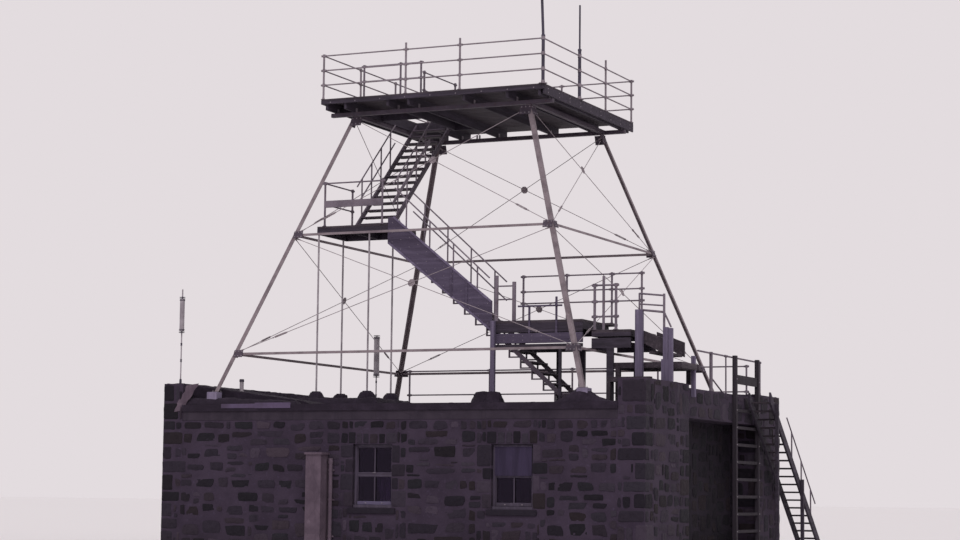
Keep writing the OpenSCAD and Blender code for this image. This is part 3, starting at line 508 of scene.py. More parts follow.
def add_stone(batch, to_world, rect, rng, edges, shade):
    """One split stone: an uneven rounded outline, sunk in the mortar at its rim and rough on its face."""
    x0, x1, y0, y1 = rect
    joint = [TIGHT if flag else rng.uniform(*JOINT) for flag in edges]
    x0, x1, y0, y1 = x0 + joint[0], x1 - joint[1], y0 + joint[2], y1 - joint[3]
    w, h = x1 - x0, y1 - y0
    if w < 0.04 or h < 0.035 or (h < 0.13 and rng.random() < 0.62):
        return
    skew = [rng.random() ** 2 * 0.2 for _ in range(8)]
    corners = np.array([
        [x0 + (0 if edges[0] else skew[0] * w), y0 + skew[1] * h],
        [x1 - (0 if edges[1] else skew[2] * w), y0 + skew[3] * h],
        [x1 - (0 if edges[1] else skew[4] * w), y1 - skew[5] * h],
        [x0 + (0 if edges[0] else skew[6] * w), y1 - skew[7] * h]])
    counts = [int(np.clip(round(d / 0.06) + 3, 6, 10)) for d in (w, h)]
    proud, rounding = rng.uniform(0.005, 0.02), rng.uniform(0.16, 0.6)
    tilt_u, tilt_v, seed = rng.uniform(-0.006, 0.006), rng.uniform(-0.006, 0.006), rng.uniform(0, 99)
    s, t = np.meshgrid(*(np.concatenate(([-1.0], np.linspace(-0.9, 0.9, n - 2), [1.0])) for n in counts),
                       indexing="ij")
    a = (s * np.sqrt(1 - rounding * t * t / 2) + 1) / 2
    b = (t * np.sqrt(1 - rounding * s * s / 2) + 1) / 2
    flat = sum(weight[..., None] * corner for weight, corner in zip(
        ((1 - a) * (1 - b), a * (1 - b), a * b, (1 - a) * b), corners))
    rim = np.maximum(np.abs(s), np.abs(t)).reshape(-1)
    depth = np.where(rim > 0.95, -SINK, proud * (1 - 0.6 * rim ** 4)) + (tilt_u * s + tilt_v * t).reshape(-1)
    points = np.concatenate([flat.reshape(-1, 2), depth.reshape(-1, 1)], axis=1)
    swing = np.where(rim > 0.5, 0.011, 0.0)
    points[:, 0] += smooth_noise(points, 9.0, seed + 7) * (0 if edges[0] or edges[1] else swing)
    points[:, 1] += smooth_noise(points, 9.0, seed + 9) * swing
    rough = smooth_noise(points, 13.0, seed) * 0.0065 + smooth_noise(points, 34.0, seed + 3) * 0.003
    points[:, 2] += np.where(rim > 0.95, 0, rough)
    points[:, 2] = np.minimum(points[:, 2], PROUD_MOST)
    # shade under 1 darkens the stone's tone as painted shade.
    batch.add([to_world(*p) for p in points], grid_faces(*counts), tone=stone_tone(rng) * shade,
              hue=rng.random())


def add_block(batch, low, high, rng, proud, n, tone=None, radius=0.03):
    """A whole rounded stone block, rough on all faces, for corners, jambs and arches."""
    low, high = np.array(low, float), np.array(high, float)
    size = high - low
    r = min(radius, size.min() * 0.35)
    steps = np.concatenate(([0.0], np.linspace(0.12, 0.88, n - 1), [1.0]))
    index, vertices, faces = {}, [], []

    def vertex(i, j, k):
        key = (i, j, k)
        if key not in index:
            index[key] = len(vertices)
            vertices.append([steps[i], steps[j], steps[k]])
        return index[key]

    for a in range(n):
        for b in range(n):
            for side in (0, n):
                quads = ((side, a, b), (side, a + 1, b), (side, a + 1, b + 1), (side, a, b + 1))
                for axis in range(3):
                    ring = [tuple(np.roll(q, axis)) for q in quads]
                    faces.append(tuple(vertex(*q) for q in (ring if side else ring[::-1])))
    points = low + np.array(vertices) * size
    inner = np.clip(points, low + r, high - r)
    out = points - inner
    length = np.linalg.norm(out, axis=1, keepdims=True)
    way = out / np.maximum(length, 1e-9)
    points = inner + way * np.where(length > 1e-9, r, 0)
    seed = rng.uniform(0, 99)
    coarse, fine = smooth_noise(points, 11.0, seed), smooth_noise(points, 30.0, seed + 5)
    points += way * (coarse * proud * 0.45 + fine * proud * 0.2)[:, None]
    tone = stone_tone(rng) if tone is None else tone
    batch.add([tuple(p) for p in points], faces, tone=tone, hue=rng.random())


def to_face(origin, across, outward, rise=UP):
    """Maps along the wall, up it and out of it to the frame."""
    origin, across, outward, rise = (Vector(v) for v in (origin, across, outward, rise))

    def place(u, v, d):
        return tuple(origin + across * u + rise * v + outward * d)
    return place


def stone_face(name, place, width, height, holes, seed, shade=1.0):
    """All the stones of one wall face; shade under 1 makes them darker, as painted shade."""
    rng, batch = random.Random(seed), Batch()
    for rect in stone_cells(width, height, holes, rng):
        at_hole = [any(abs(rect[k] - h[1 - k]) < 0.01 for h in holes) for k in range(2)]
        add_stone(batch, place, rect, rng, at_hole + [False, False], shade)
    batch.build(name, "split_stone", "rubble_stone")


QUOIN_DEPTH = 0.014
JAMB_DEPTH = REVEAL - 0.01
COURSES = (0.33, 0.24, 0.42, 0.29, 0.37, 0.22, 0.31, 0.45, 0.28, 0.35, 0.25, 0.4, 0.3, 0.34)
SILL_LOW = SILL_Z - 0.15


def quoins(batch, x, y, dx, dy, top, rng):
    """Corner stones at (x, y); dx and dy point inward. Returns the strips they take on each face."""
    z, strips_x, strips_y, course = 0.0, [], [], rng.randrange(len(COURSES))
    while z < top - 0.05:
        h = COURSES[course % len(COURSES)]
        z1 = top if top - z - h < 0.16 else z + h
        along = [rng.uniform(0.22, 0.34), rng.uniform(0.42, 0.66)]
        along_x, along_y = along if course % 2 else along[::-1]
        a = (x - dx * QUOIN_DEPTH, y - dy * QUOIN_DEPTH, z + rng.uniform(0.008, 0.02))
        b = (x + dx * (along_x - 0.016), y + dy * (along_y - 0.016), z1 - rng.uniform(0.008, 0.02))
        low, high = zip(*(sorted(pair) for pair in zip(a, b)))
        add_block(batch, low, high, rng, 0.02, 5, radius=0.045)
        strips_x.append((along_x, z, z1))
        strips_y.append((along_y, z, z1))
        z, course = z1, course + 1
    return strips_x, strips_y


def window_stones(batch, x, y, outward, rng):
    """Jamb blocks beside a window, upright stones over it and a sill. Returns the strips they take."""
    half, top, strips = WINDOW_W / 2, SILL_Z + WINDOW_H, []

    def block(x0, x1, z0, z1, out, proud, n, tone, radius=0.03):
        near, far = sorted((y + outward * out, y - outward * JAMB_DEPTH))
        add_block(batch, (x0, near, z0), (x1, far, z1), rng, proud, n, tone, radius)

    for side in (-1, 1):
        z, course = SILL_Z, (0 if side < 0 else 1)
        while z < top - 0.02:
            z1 = min(top, z + rng.uniform(0.26, 0.42))
            z1 = top if top - z1 < 0.18 else z1
            wide = (0.15, 0.3)[course % 2] + rng.uniform(0, 0.08)
            x0, x1 = sorted((x + side * (half - 0.006), x + side * (half + wide)))
            block(x0, x1, z + 0.01, z1 - 0.01, 0.01, 0.014, 4, None)
            strips.append((x0 - 0.012, x1 + 0.012, z, z1))
            z, course = z1, course + 1
    over, arch_h = 0.12, 0.32
    marks = [x - half - over]
    while marks[-1] < x + half + over - 0.3:
        marks.append(marks[-1] + rng.uniform(0.15, 0.27))
    marks.append(x + half + over)
    for a, b in zip(marks, marks[1:]):
        z1 = top + arch_h - rng.uniform(0.02, 0.1)
        block(a + 0.012, b - 0.012, top + 0.006, z1, 0.014, 0.014, 4, rng.choice((0.05, 0.15, 0.4, 0.7)))
    strips.append((x - half - over, x + half + over, top, top + arch_h))
    block(x - half - 0.1, x + half + 0.1, SILL_Z - 0.13, SILL_Z - 0.004, 0.045, 0.006, 6, 0.3, 0.012)
    strips.append((x - half - 0.11, x + half + 0.11, SILL_LOW, SILL_Z))
    return strips


def end_strips(length, near, far):
    """The strips that corner stones take at the two ends of a face."""
    return [(0, w, a, b) for w, a, b in near] + [(length - w, length, a, b) for w, a, b in far]


def long_wall(name, y, outward, near, far, seed):
    """Stones of the front or back wall. Places run along it from its left end, seen from outside."""
    batch, rng, length, half = Batch(), random.Random(seed + 50), RIGHT - LEFT, WINDOW_W / 2
    taken = [s for x in WINDOW_X for s in window_stones(batch, x, y, outward, rng)]
    batch.build(name + "_jambs", "split_stone", "rubble_stone")
    taken.append((LEFT_IN, RIGHT_IN, WALL_TOP, END_TOP))
    if outward < 0:
        start, across, middles = LEFT, EAST, [x - LEFT for x in WINDOW_X]
        holes = [(a - LEFT, b - LEFT, c, d) for a, b, c, d in taken]
    else:
        start, across, middles = RIGHT, WEST, [RIGHT - x for x in WINDOW_X]
        holes = [(RIGHT - b, RIGHT - a, c, d) for a, b, c, d in taken]
    holes += [(m - half, m + half, SILL_LOW, SILL_Z + WINDOW_H) for m in middles]
    place = to_face((start, y, 0), across, (0, outward, 0))
    stone_face(name, place, length, END_TOP, holes + end_strips(length, near, far), seed)


def build_stonework():
    rng, corners = random.Random(11), Batch()
    (fl_x, fl_y), (bl_x, bl_y), (fr_x, fr_y), (br_x, br_y), (pn_x, pn_y), (pf_x, pf_y) = [
        quoins(corners, *spot, rng) for spot in (
            (LEFT, FRONT, 1, 1, END_TOP), (LEFT, BACK, 1, -1, END_TOP), (RIGHT, FRONT, -1, 1, END_TOP),
            (RIGHT, BACK, -1, -1, END_TOP), (RIGHT, PORCH_NEAR, -1, -1, PORCH_HEAD),
            (RIGHT, PORCH_FAR, -1, 1, PORCH_HEAD))]
    long_wall("front_stones", FRONT, -1, fl_x, fr_x, 3)
    long_wall("back_stones", BACK, 1, br_x, bl_x, 4)
    depth, reveal, rise = BACK - FRONT, RIGHT - RIGHT_IN, END_TOP - ROOF_TOP
    near, porch, far = PORCH_NEAR - FRONT, PORCH_FAR - PORCH_NEAR, BACK - PORCH_FAR
    door = [(DOOR_Y - DOOR_W / 2 - PORCH_NEAR, DOOR_Y + DOOR_W / 2 - PORCH_NEAR, 0, DOOR_H)]
    for name, start, across, outward, width, height, holes, seed, shade in (
            ("left_stones", (LEFT, BACK, 0), SOUTH, WEST, depth, END_TOP,
             end_strips(depth, bl_y, fl_y), 5, 1),
            ("right_front_stones", (RIGHT, FRONT, 0), NORTH, EAST, near, END_TOP,
             end_strips(near, fr_y, pn_y), 6, 1),
            ("right_back_stones", (RIGHT, PORCH_FAR, 0), NORTH, EAST, far, END_TOP,
             end_strips(far, pf_y, br_y), 7, 1),
            ("lintel_stones", (RIGHT, PORCH_NEAR, PORCH_HEAD), NORTH, EAST, porch, LINTEL_TOP - PORCH_HEAD,
             [], 8, 1),
            # The porch faces take shade under 1: their stones are darkened as painted shade for the recess.
            ("porch_stones", (RIGHT_IN, PORCH_NEAR, FLOOR_TOP), NORTH, EAST, porch, PORCH_HEAD - FLOOR_TOP,
             door, 9, 0.15),
            ("porch_near_stones", (RIGHT, PORCH_NEAR, 0), WEST, NORTH, reveal, PORCH_HEAD,
             end_strips(reveal, pn_x, []), 10, 0.4),
            ("porch_far_stones", (RIGHT_IN, PORCH_FAR, 0), EAST, SOUTH, reveal, PORCH_HEAD,
             end_strips(reveal, [], pf_x), 12, 0.3),
            ("left_parapet_stones", (LEFT_IN, FRONT, ROOF_TOP), NORTH, EAST, depth, rise, [], 13, 1),
            ("right_parapet_stones", (RIGHT_IN, FRONT, ROOF_TOP), NORTH, WEST, depth, rise, [], 14, 1)):
        stone_face(name, to_face(start, across, outward), width, height, holes, seed, shade)
    for name, x, wide, y0, y1, seed in (
            ("left_coping", LEFT, LEFT_IN - LEFT, FRONT, BACK, 21),
            ("right_front_coping", RIGHT_IN, reveal, FRONT, PORCH_NEAR, 22),
            ("right_back_coping", RIGHT_IN, reveal, PORCH_FAR, BACK, 23)):
        stone_face(name, to_face((x, y1, END_TOP), SOUTH, UP, EAST), y1 - y0, wide, [], seed)
    corners.build("corner_stones", "split_stone", "rubble_stone")


# Turned and chamfered shapes for joinery and fittings

def axes_of(direction):
    """Two directions square to the given one, and itself, each of length 1."""
    d = np.array(direction, float)
    d /= np.linalg.norm(d)
    side = np.cross(d, UP if abs(d[2]) < 0.9 else EAST)
    side /= np.linalg.norm(side)
    return side, np.cross(d, side), d


def turn(batch, at, direction, profile, sides=12, angle=0.0):
    """A turned shape: profile gives pairs of radius and height along direction from at."""
    side, up, d = axes_of(direction)
    at, vertices, faces = np.array(at, float), [], []
    for radius, height in profile:
        for k in range(sides):
            a = angle + 2 * math.pi * k / sides
            spoke = side * (radius * math.cos(a))
            vertices.append(tuple(at + d * height + spoke + up * (radius * math.sin(a))))
    for low in range(0, (len(profile) - 1) * sides, sides):
        for k in range(sides):
            n = (k + 1) % sides
            faces.append((low + k, low + n, low + sides + n, low + sides + k))
    faces.append(tuple(range(sides))[::-1])
    faces.append(tuple(range((len(profile) - 1) * sides, len(profile) * sides)))
    batch.add(vertices, faces)


def chamfer_shape():
    """Corner signs and faces of a block whose edges are cut off, three corners at each corner."""
    keys = [(sx, sy, sz, axis) for sx in (-1, 1) for sy in (-1, 1) for sz in (-1, 1) for axis in range(3)]
    spot = {key: np.array([key[i] * (1.0 if key[3] == i else 0.8) for i in range(3)]) for key in keys}
    groups = [[k for k in keys if k[3] == axis and k[axis] == sign] for axis in range(3) for sign in (-1, 1)]
    for a in range(3):
        b, c = (a + 1) % 3, (a + 2) % 3
        for sb in (-1, 1):
            for sc in (-1, 1):
                groups.append([k for k in keys if k[b] == sb and k[c] == sc and k[3] != a])
    groups += [[k for k in keys if k[:3] == signs] for signs in {k[:3] for k in keys}]
    faces = []
    for group in groups:
        middle = sum(spot[k] for k in group) / len(group)
        side, up, _ = axes_of(middle)
        ring = sorted(group, key=lambda k: math.atan2((spot[k] - middle) @ up, (spot[k] - middle) @ side))
        faces.append(tuple(keys.index(k) for k in ring))
    return keys, sorted(faces)


CHAMFER_KEYS, CHAMFER_FACES = chamfer_shape()


def chamfered(batch, middle, across, up, half, bevel=0.004):
    """A bar with cut-off edges; half is its half sizes along across, up and their normal."""
    across, up = np.array(across, float), np.array(up, float)
    axes = np.array([across, up, np.cross(across, up)])
    bevel = min(bevel, min(half) * 0.6)
    vertices = []
    for key in CHAMFER_KEYS:
        local = [key[i] * (half[i] - (0 if key[3] == i else bevel)) for i in range(3)]
        vertices.append(tuple(np.array(middle, float) + np.array(local) @ axes))
    batch.add(vertices, CHAMFER_FACES)


def slab(batch, middle, half, bevel=0.004):
    """A chamfered bar square to the frame; half is its half sizes along x, y and z."""
    chamfered(batch, middle, EAST, UP, (half[0], half[2], half[1]), bevel)


def strip(batch, a, b, up, width, thick, bevel=0.004):
    """A chamfered bar from a to b, width measured along up."""
    a, b, up = (np.array(v, float) for v in (a, b, up))
    run = np.linalg.norm(b - a)
    across = (b - a) / run
    up -= across * (up @ across)
    chamfered(batch, (a + b) / 2, across, up / np.linalg.norm(up), (run / 2, width / 2, thick / 2), bevel)


def bolt(batch, at, direction, size, stud=0.0):
    """A hexagon nut on a washer; stud is how far the bolt's end stands through it."""
    turn(batch, at, direction, ((size * 1.3, -0.002), (size * 1.3, 0.002), (size * 1.15, 0.0035)), 12)
    angle = (at[0] * 7.3 + at[1] * 5.1 + at[2] * 3.7) % 1.0
    top = size * 0.9
    turn(batch, at, direction, ((size, 0.001), (size, top * 0.85), (size * 0.8, top)), 6, angle)
    if stud:
        end = ((size * 0.52, 0), (size * 0.52, top + stud), (size * 0.4, top + stud + 0.003))
        turn(batch, at, direction, end, 8)


def sleeve(batch, middle, direction, radius, length):
    """A pipe fitting's sleeve with a raised rim at each end."""
    h, slim, wide = length / 2, radius - 0.004, radius + 0.004
    turn(batch, middle, direction, (
        (slim, -h), (wide, -h + 0.002), (wide, -h + 0.012), (radius, -h + 0.016),
        (radius, h - 0.016), (wide, h - 0.012), (wide, h - 0.002), (slim, h)), 14)


# Windows and doorway

SASH = 0.07
MEETING = WINDOW_H * 0.52
PANE_HALF = WINDOW_W / 2 - SASH
PANES = ((SASH, MEETING - 0.035), (MEETING + 0.035, WINDOW_H - SASH))
CATCH = ((0.014, 0), (0.014, 0.004), (0.005, 0.008), (0.005, 0.02), (0.012, 0.026), (0.009, 0.032))
ROLLER = ((0.006, 0), (0.006, 0.01), (0.017, 0.012), (0.017, 0.888), (0.006, 0.89), (0.006, 0.9))
CURTAIN_ROD = ((0.007, 0), (0.007, 0.88))


def window_joinery():
    """Casings, glazing bars, putty beads, meeting rails, horns, weather bars and catches of all windows, and
    a dark strip between the meeting rails as painted shadow.
    """
    wood, bright, iron, gap = Batch(), Batch(), Batch(), Batch()
    half, head = WINDOW_W / 2, WINDOW_H
    beside = (
        (half, half - 0.05, 0.0, head, 0.078, 0.104, 0.006),
        (half - 0.05, half - 0.066, 0.06, head - 0.05, 0.078, 0.09, 0.005),
        *((PANE_HALF, PANE_HALF - 0.012, low, high, 0.046, 0.062, 0.009) for low, high in PANES),
        (PANE_HALF + 0.002, PANE_HALF + 0.036, MEETING - 0.085, MEETING - 0.02, 0.074, 0.088, 0.01))
    for y, out in ((FRONT, -1), (BACK, 1)):
        for x in WINDOW_X:
            def bar(u0, u1, v0, v1, d0, d1, bevel, batch=wood):
                """Spans across and up from the sill's middle, and outward from the reveal's back."""
                middle = (x + (u0 + u1) / 2, y + out * ((d0 + d1) / 2 - REVEAL), SILL_Z + (v0 + v1) / 2)
                slab(batch, middle, ((u1 - u0) / 2, (d1 - d0) / 2, (v1 - v0) / 2), bevel)

            for side in (-1, 1):
                for u0, u1, *rest in beside:
                    bar(*sorted((side * u0, side * u1)), *rest)
            bar(-half + 0.05, half - 0.05, head - 0.05, head, 0.078, 0.104, 0.006)
            for low, high in PANES:
                for v0, v1 in ((low, low + 0.012), (high - 0.012, high)):
                    bar(-PANE_HALF, PANE_HALF, v0, v1, 0.046, 0.062, 0.009)
                bar(-0.017, 0.017, low, high, 0.044, 0.072, 0.011)
            pale = bright if y == FRONT and x == WINDOW_X[0] else wood
            for v0, v1, d0, d1, bevel, batch in (
                    (MEETING + 0.017, MEETING + 0.048, 0.07, 0.094, 0.006, wood),
                    (MEETING - 0.048, MEETING - 0.017, 0.07, 0.09, 0.006, wood),
                    # A dark strip between the meeting rails: painted shadow in the gap between the sashes.
                    (MEETING - 0.017, MEETING + 0.017, 0.068, 0.073, 0.002, gap),
                    (0.062, 0.14, 0.072, 0.092, 0.008, pale)):
                bar(-PANE_HALF, PANE_HALF, v0, v1, d0, d1, bevel, batch)
            for u in (-0.2, 0.2):
                turn(iron, (x + u, y - out * (REVEAL - 0.09), SILL_Z + 0.1), (0, out, 0), CATCH, 10)
            slab(iron, (x, y - out * (REVEAL - 0.1), SILL_Z + MEETING + 0.04), (0.035, 0.012, 0.006))
    wood.build("window_joinery", "window_paint")
    bright.build("window_weather_bar", "bright_paint", "window_paint")
    gap.build("window_meeting_rail_shadow_strips", "weathered_timber", "window_paint")
    iron.build("window_catches", "galvanised_metal", "grey_steel")


def cloth(name, x0, x1, z0, z1, y, folds, depth, seed, look, sweep=0.0):
    """A hung cloth at a window. sweep draws its foot aside, in a curve."""
    nu, nv, vertices = 64, 26, []
    for j in range(nv + 1):
        fall = 1 - j / nv
        left = x0 + sweep * fall ** 2
        for i in range(nu + 1):
            t = i / nu
            phase = t * folds * 2 * math.pi + 0.8 * math.sin(3.1 * t + seed)
            wave = math.sin(phase) * depth * (0.45 + 0.55 * fall)
            vertices.append((left + (x1 - left) * t, y + wave, z0 + (z1 - z0) * j / nv))
    row = nu + 1
    faces = [(k, k + 1, k + row + 1, k + row) for j in range(nv) for k in range(j * row, j * row + nu)]
    piece = add_mesh(name, vertices, faces, look, smooth=True)


def window_cloths():
    """A sun blind outside the right window's upper sash, a curtain in the left one, blinds at the back in a
    darker cloth that is painted shade.
    """
    inside, outside = REVEAL + 0.035, REVEAL - 0.12
    rollers, (left, right) = Batch(), WINDOW_X
    for k, (x, y, low, look) in enumerate((
            (left, FRONT + inside, 0.0, None), (right, FRONT + outside, MEETING - 0.01, "blind_cloth"),
            (left, BACK - inside, 0.03, "blind_cloth_painted_shade"),
            (right, BACK - inside, 0.03, "blind_cloth_painted_shade"))):
        if look:
            cloth(f"blind_{k}", x - 0.43, x + 0.43, SILL_Z + low, SILL_Z + 1.34, y, 9, 0.006, k, look)
        turn(rollers, (x - 0.45, y, SILL_Z + 1.35), EAST, ROLLER, 14)
    cloth("curtain", left, left + 0.42, SILL_Z + 0.03, SILL_Z + MEETING, FRONT + inside, 5, 0.014, 6,
          "curtain_cloth", 0.16)
    turn(rollers, (left - 0.44, FRONT + inside, SILL_Z + MEETING + 0.012), EAST, CURTAIN_ROD, 10)
    rollers.build("blind_rollers", "window_paint")


def doorway_lining():
    """Timber jambs, head and architrave in the porch doorway."""
    timber, head = Batch(), FLOOR_TOP + DOOR_H
    middle, tall, wide = (FLOOR_TOP + head) / 2, DOOR_H / 2, DOOR_W / 2
    lining, architrave = RIGHT_IN - 0.11, RIGHT_IN + 0.026
    for inward in (1, -1):
        y = DOOR_Y - inward * wide
        slab(timber, (lining, y + inward * 0.014, middle), (0.15, 0.014, tall))
        slab(timber, (architrave, y - inward * 0.036, middle + 0.04), (0.014, 0.05, tall + 0.04), 0.006)
    chamfered(timber, (lining, DOOR_Y, head - 0.014), EAST, NORTH, (0.15, wide, 0.014))
    chamfered(timber, (architrave, DOOR_Y, head + 0.036), EAST, NORTH, (0.014, wide - 0.01, 0.044), 0.006)
    timber.build("doorway_lining", "weathered_timber")


# Fittings of the tower, in the tower's own lean

ROD_EYE = (
    (0.013, 0), (0.02, 0.006), (0.022, 0.05), (0.019, 0.1), (0.0135, 0.125), (0.0135, 0.16), (0.009, 0.165))
ROD_PIN = ((0.011, 0), (0.014, 0.004), (0.014, 0.064), (0.011, 0.068))
BUCKLE_END = ((0.012, 0), (0.023, 0.004), (0.023, 0.034), (0.012, 0.04))
LOCK_NUT = ((0.015, 0), (0.017, 0.003), (0.017, 0.02), (0.015, 0.023))


def half_at(z):
    """Half the tower's width at a height above its feet."""
    return FOOT_HALF - (FOOT_HALF - TOP_HALF) * z / TOP_Z


def on_face(side, x, y, z, point=True):
    """From one leaning face of the tower (x along it, y up its slope, z outward) to the frame."""
    s, c = math.sin(LEAN), math.cos(LEAN)
    v = Vector((x, y * s - z * c - (FOOT_HALF if point else 0), y * c + z * s))
    v = Matrix.Rotation(math.radians(90 * side), 3, "Z") @ v
    return v + Vector((0, 0, FEET if point else 0))


def rod_fittings(ends, low, high, out):
    """Eyes and pins at a rod's two ends, and a turnbuckle near its foot."""
    run = (high - low).normalized()
    for point, way in ((low, run), (high, -run)):
        turn(ends, point - way * 0.02, way, ROD_EYE)
        turn(ends, point - out * 0.034, out, ROD_PIN)
    at, aside = low + (high - low) * 0.14, run.cross(out).normalized() * 0.017
    for offset in (-aside, aside):
        strip(ends, at + offset - run * 0.13, at + offset + run * 0.13, out, 0.018, 0.01, 0.003)
    for shift, profile, sides in (
            (-0.15, BUCKLE_END, 8), (0.11, BUCKLE_END, 8), (-0.2, LOCK_NUT, 6), (0.155, LOCK_NUT, 6)):
        turn(ends, at + run * shift, run, profile, sides)


def tower_fittings():
    """Bolts of the gussets and base plates, rod ends, turnbuckles and the bolts of the centre plates."""
    bolts, ends = Batch(), Batch()
    inner = -FLANGE_T - STRUT_T - ROD_R - 0.002
    outer = inner - PLATE_T - 2 * ROD_R - 0.001
    for side in range(4):
        out = on_face(side, 0, 0, 1, False)
        for z, w, h in [(r, 0.23, 0.17) for r in RINGS] + [(TOP_Z - 0.13, 0.28, 0.23)]:
            y = z / math.cos(LEAN)
            for s in (-1, 1):
                x = s * (half_at(z) - w / 2 - 0.014)
                for u in (-0.36, 0.0, 0.36):
                    for v in (-0.32, 0.32):
                        bolt(bolts, on_face(side, x + u * w, y + v * h, PLATE_T), out, 0.014, 0.006)
                for u in (-0.3, 0.1):
                    bolt(bolts, on_face(side, x - s * u * w, y, -FLANGE_T - STRUT_T), -out, 0.014, 0.01)
        for z0, z1 in zip(PANELS, PANELS[1:]):
            a, b = half_at(z0 + 0.06) - 0.07, half_at(z1 - 0.06) - 0.07
            y0, y1 = (z0 + 0.06) / math.cos(LEAN), (z1 - 0.06) / math.cos(LEAN)
            for x0, x1, depth in ((-a, b, inner), (a, -b, outer)):
                rod_fittings(ends, on_face(side, x0, y0, depth), on_face(side, x1, y1, depth), out)
            middle = y0 + (y1 - y0) * a / (a + b)
            for u, v in four_round(0.062):
                bolt(bolts, on_face(side, u, middle + v, (inner + outer + PLATE_T) / 2), out, 0.009, 0.004)
    for x, y in four_round((FOOT_HALF - 0.04) * math.sqrt(2)):
        for u, v in four_round(0.065 * math.sqrt(2)):
            bolt(bolts, (x + u, y + v, FEET), UP, 0.013, 0.018)
    bolts.build("tower_bolts", "galvanised_metal", "tower_steel")
    ends.build("rod_fittings", "rod_steel")


# Railings

LEVELS = (0.34, 0.69, 1.04)
SET_SCREW = ((0.006, 0), (0.006, 0.006), (0.004, 0.008))
FOOT_SCREW = ((0.007, 0), (0.007, 0.004), (0.003, 0.006))
MAST_FOOT = ((0.1, 0), (0.1, 0.01), (0.05, 0.014), (0.044, 0.07), (0.038, 0.075))


def railing_fittings(batch, points, heights, post_h, rail_d=0.034, first=0, last=None, post_d=0.048):
    """Cross fittings where rails meet posts, a foot plate under each post and a cap on it."""
    last = len(points) - 1 if last is None else last
    points, r = [Vector(p) for p in points], post_d / 2
    for i in range(first, last + 1):
        run = (points[min(i + 1, len(points) - 1)] - points[max(i - 1, 0)]).normalized()
        for h in heights:
            at = points[i] + Vector((0, 0, h))
            sleeve(batch, at, run, rail_d / 2 + 0.005, 0.13)
            sleeve(batch, at, UP, r + 0.005, 0.075)
            turn(batch, at + run * 0.05 + Vector((0, 0, rail_d / 2 + 0.003)), UP, SET_SCREW, 6)
        turn(batch, points[i] + Vector((0, 0, post_h - 0.01)), UP,
             ((r + 0.002, 0), (r + 0.003, 0.012), (r - 0.004, 0.02), (0.006, 0.026)), 14)
        plate = r + 0.034
        turn(batch, points[i], UP, (
            (plate, 0), (plate, 0.007), (r + 0.007, 0.01), (r + 0.004, 0.045), (r - 0.002, 0.048)), 16)
        for u, v in four_round(r + 0.02):
            turn(batch, points[i] + Vector((u, v, 0.007)), UP, FOOT_SCREW, 8)


def railings():
    """Fittings of all the pipe railings, at the points their posts stand on."""
    platform, lower = Batch(), Batch()
    line = DECK_HALF - 0.04
    third = 2 * line / 3
    front = [(x, -line, DECK) for x in (-line, -0.65, 0.735, line - 0.039)]
    railing_fittings(platform, front, LEVELS, 1.06, last=0)
    railing_fittings(platform, front, LEVELS, 1.19, first=1, last=2)
    railing_fittings(platform, [(-line + i * third, line, DECK) for i in range(4)], LEVELS, 1.06)
    right = [(line, y, DECK) for y in (-0.581, 1.06, line - 0.025)]
    railing_fittings(platform, right, LEVELS, 1.24, first=1, last=1)
    left = [(-line, y, DECK) for y in (0.025 - line, -third / 2, third / 2, line - 0.025)]
    railing_fittings(platform, left, LEVELS, 1.06, first=1, last=2)
    for y in (-line, SIDE_MAST_Y):
        for h in LEVELS:
            sleeve(platform, (line, y, DECK + h), UP, 0.044, 0.08)
        turn(platform, (line, y, DECK), UP, MAST_FOOT, 20)
        for u, v in four_round(0.078):
            bolt(platform, (line + u, y + v, DECK + 0.008), UP, 0.009, 0.004)
    platform.build("platform_rail_fittings", "pale_rail_steel", "rail_steel")

    far, near, step = -1.53, -3.082, (RIGHT_IN - 0.2 + FOOT_HALF - 0.4) / 4
    for points, heights, post_h, options in (
            ([(x, -0.99, DECK) for x in (0.12 - line, -1.7, -1.15)], (0.74, 1.11), 1.13, {}),
            ([(-1.09, y, DECK) for y in (-0.93, 0.81)], (0.43, 0.87), 0.9, {}),
            ([(x, -3.02, UPPER) for x in (-2.6, -1.1)], (1.01,), 1.03, {"rail_d": 0.036}),
            ([(-2.6, y, UPPER) for y in (-2.97, -1.66)], (0.515, 1.01), 1.03, {"rail_d": 0.036, "first": 1}),
            ([(x, far, LOWER) for x in (1.82, 2.9, 4.0)], (0.52, 0.79, 1.14), 1.16, {}),
            ([(x, far, LOWER_RIGHT) for x in (4.0, 4.72)], (0.77, 1.04, 1.39), 1.41, {"first": 1}),
            ([(x, near, LOWER_RIGHT) for x in (4.2, 4.7)], (0.29, 0.62, 0.98), 1.0,
             {"rail_d": 0.042, "post_d": 0.06}),
            ([(0.4 - FOOT_HALF + i * step, BACK - 0.09, ROOF_TOP) for i in range(5)], (0.649, 1.278), 1.298,
             {"rail_d": 0.036})):
        railing_fittings(lower, points, heights, post_h, **options)
    for y, z, r in ((-0.13, LINTEL_TOP, 0.04), (0.94, LINTEL_TOP, 0.018), (3.53, END_TOP, 0.03)):
        turn(lower, (RIGHT - 0.12, y, z), UP, (
            (r + 0.04, 0), (r + 0.04, 0.008), (r + 0.006, 0.012), (r + 0.004, 0.05), (r, 0.052)), 16)
        sleeve(lower, (RIGHT - 0.12, y, FEET + 0.98), NORTH, 0.027, 0.14)
    lower.build("stair_rail_fittings", "rail_steel")


# Timber fittings

NAIL = ((0.0055, -0.001), (0.0055, 0.001), (0.003, 0.002))
SCREW = ((0.009, 0), (0.009, 0.003), (0.004, 0.006))
JOISTS = (-2.72, -2.23, -1.6, -1.12, -0.58, 0.84, 1.92, 2.72)
DECK_BOARDS, LANDING_BOARDS = 30, 8
UPPER_RISES, UPPER_GOING, UPPER_FOOT_Y = 16, 0.203, -2.4
LOWER_RISES, LOWER_SLOPE, LOWER_HEAD_X = 17, 0.8935, -0.92
OUTER_RISES, OUTER_SLOPE, OUTER_HEAD_Y = 20, 0.85, 1.9


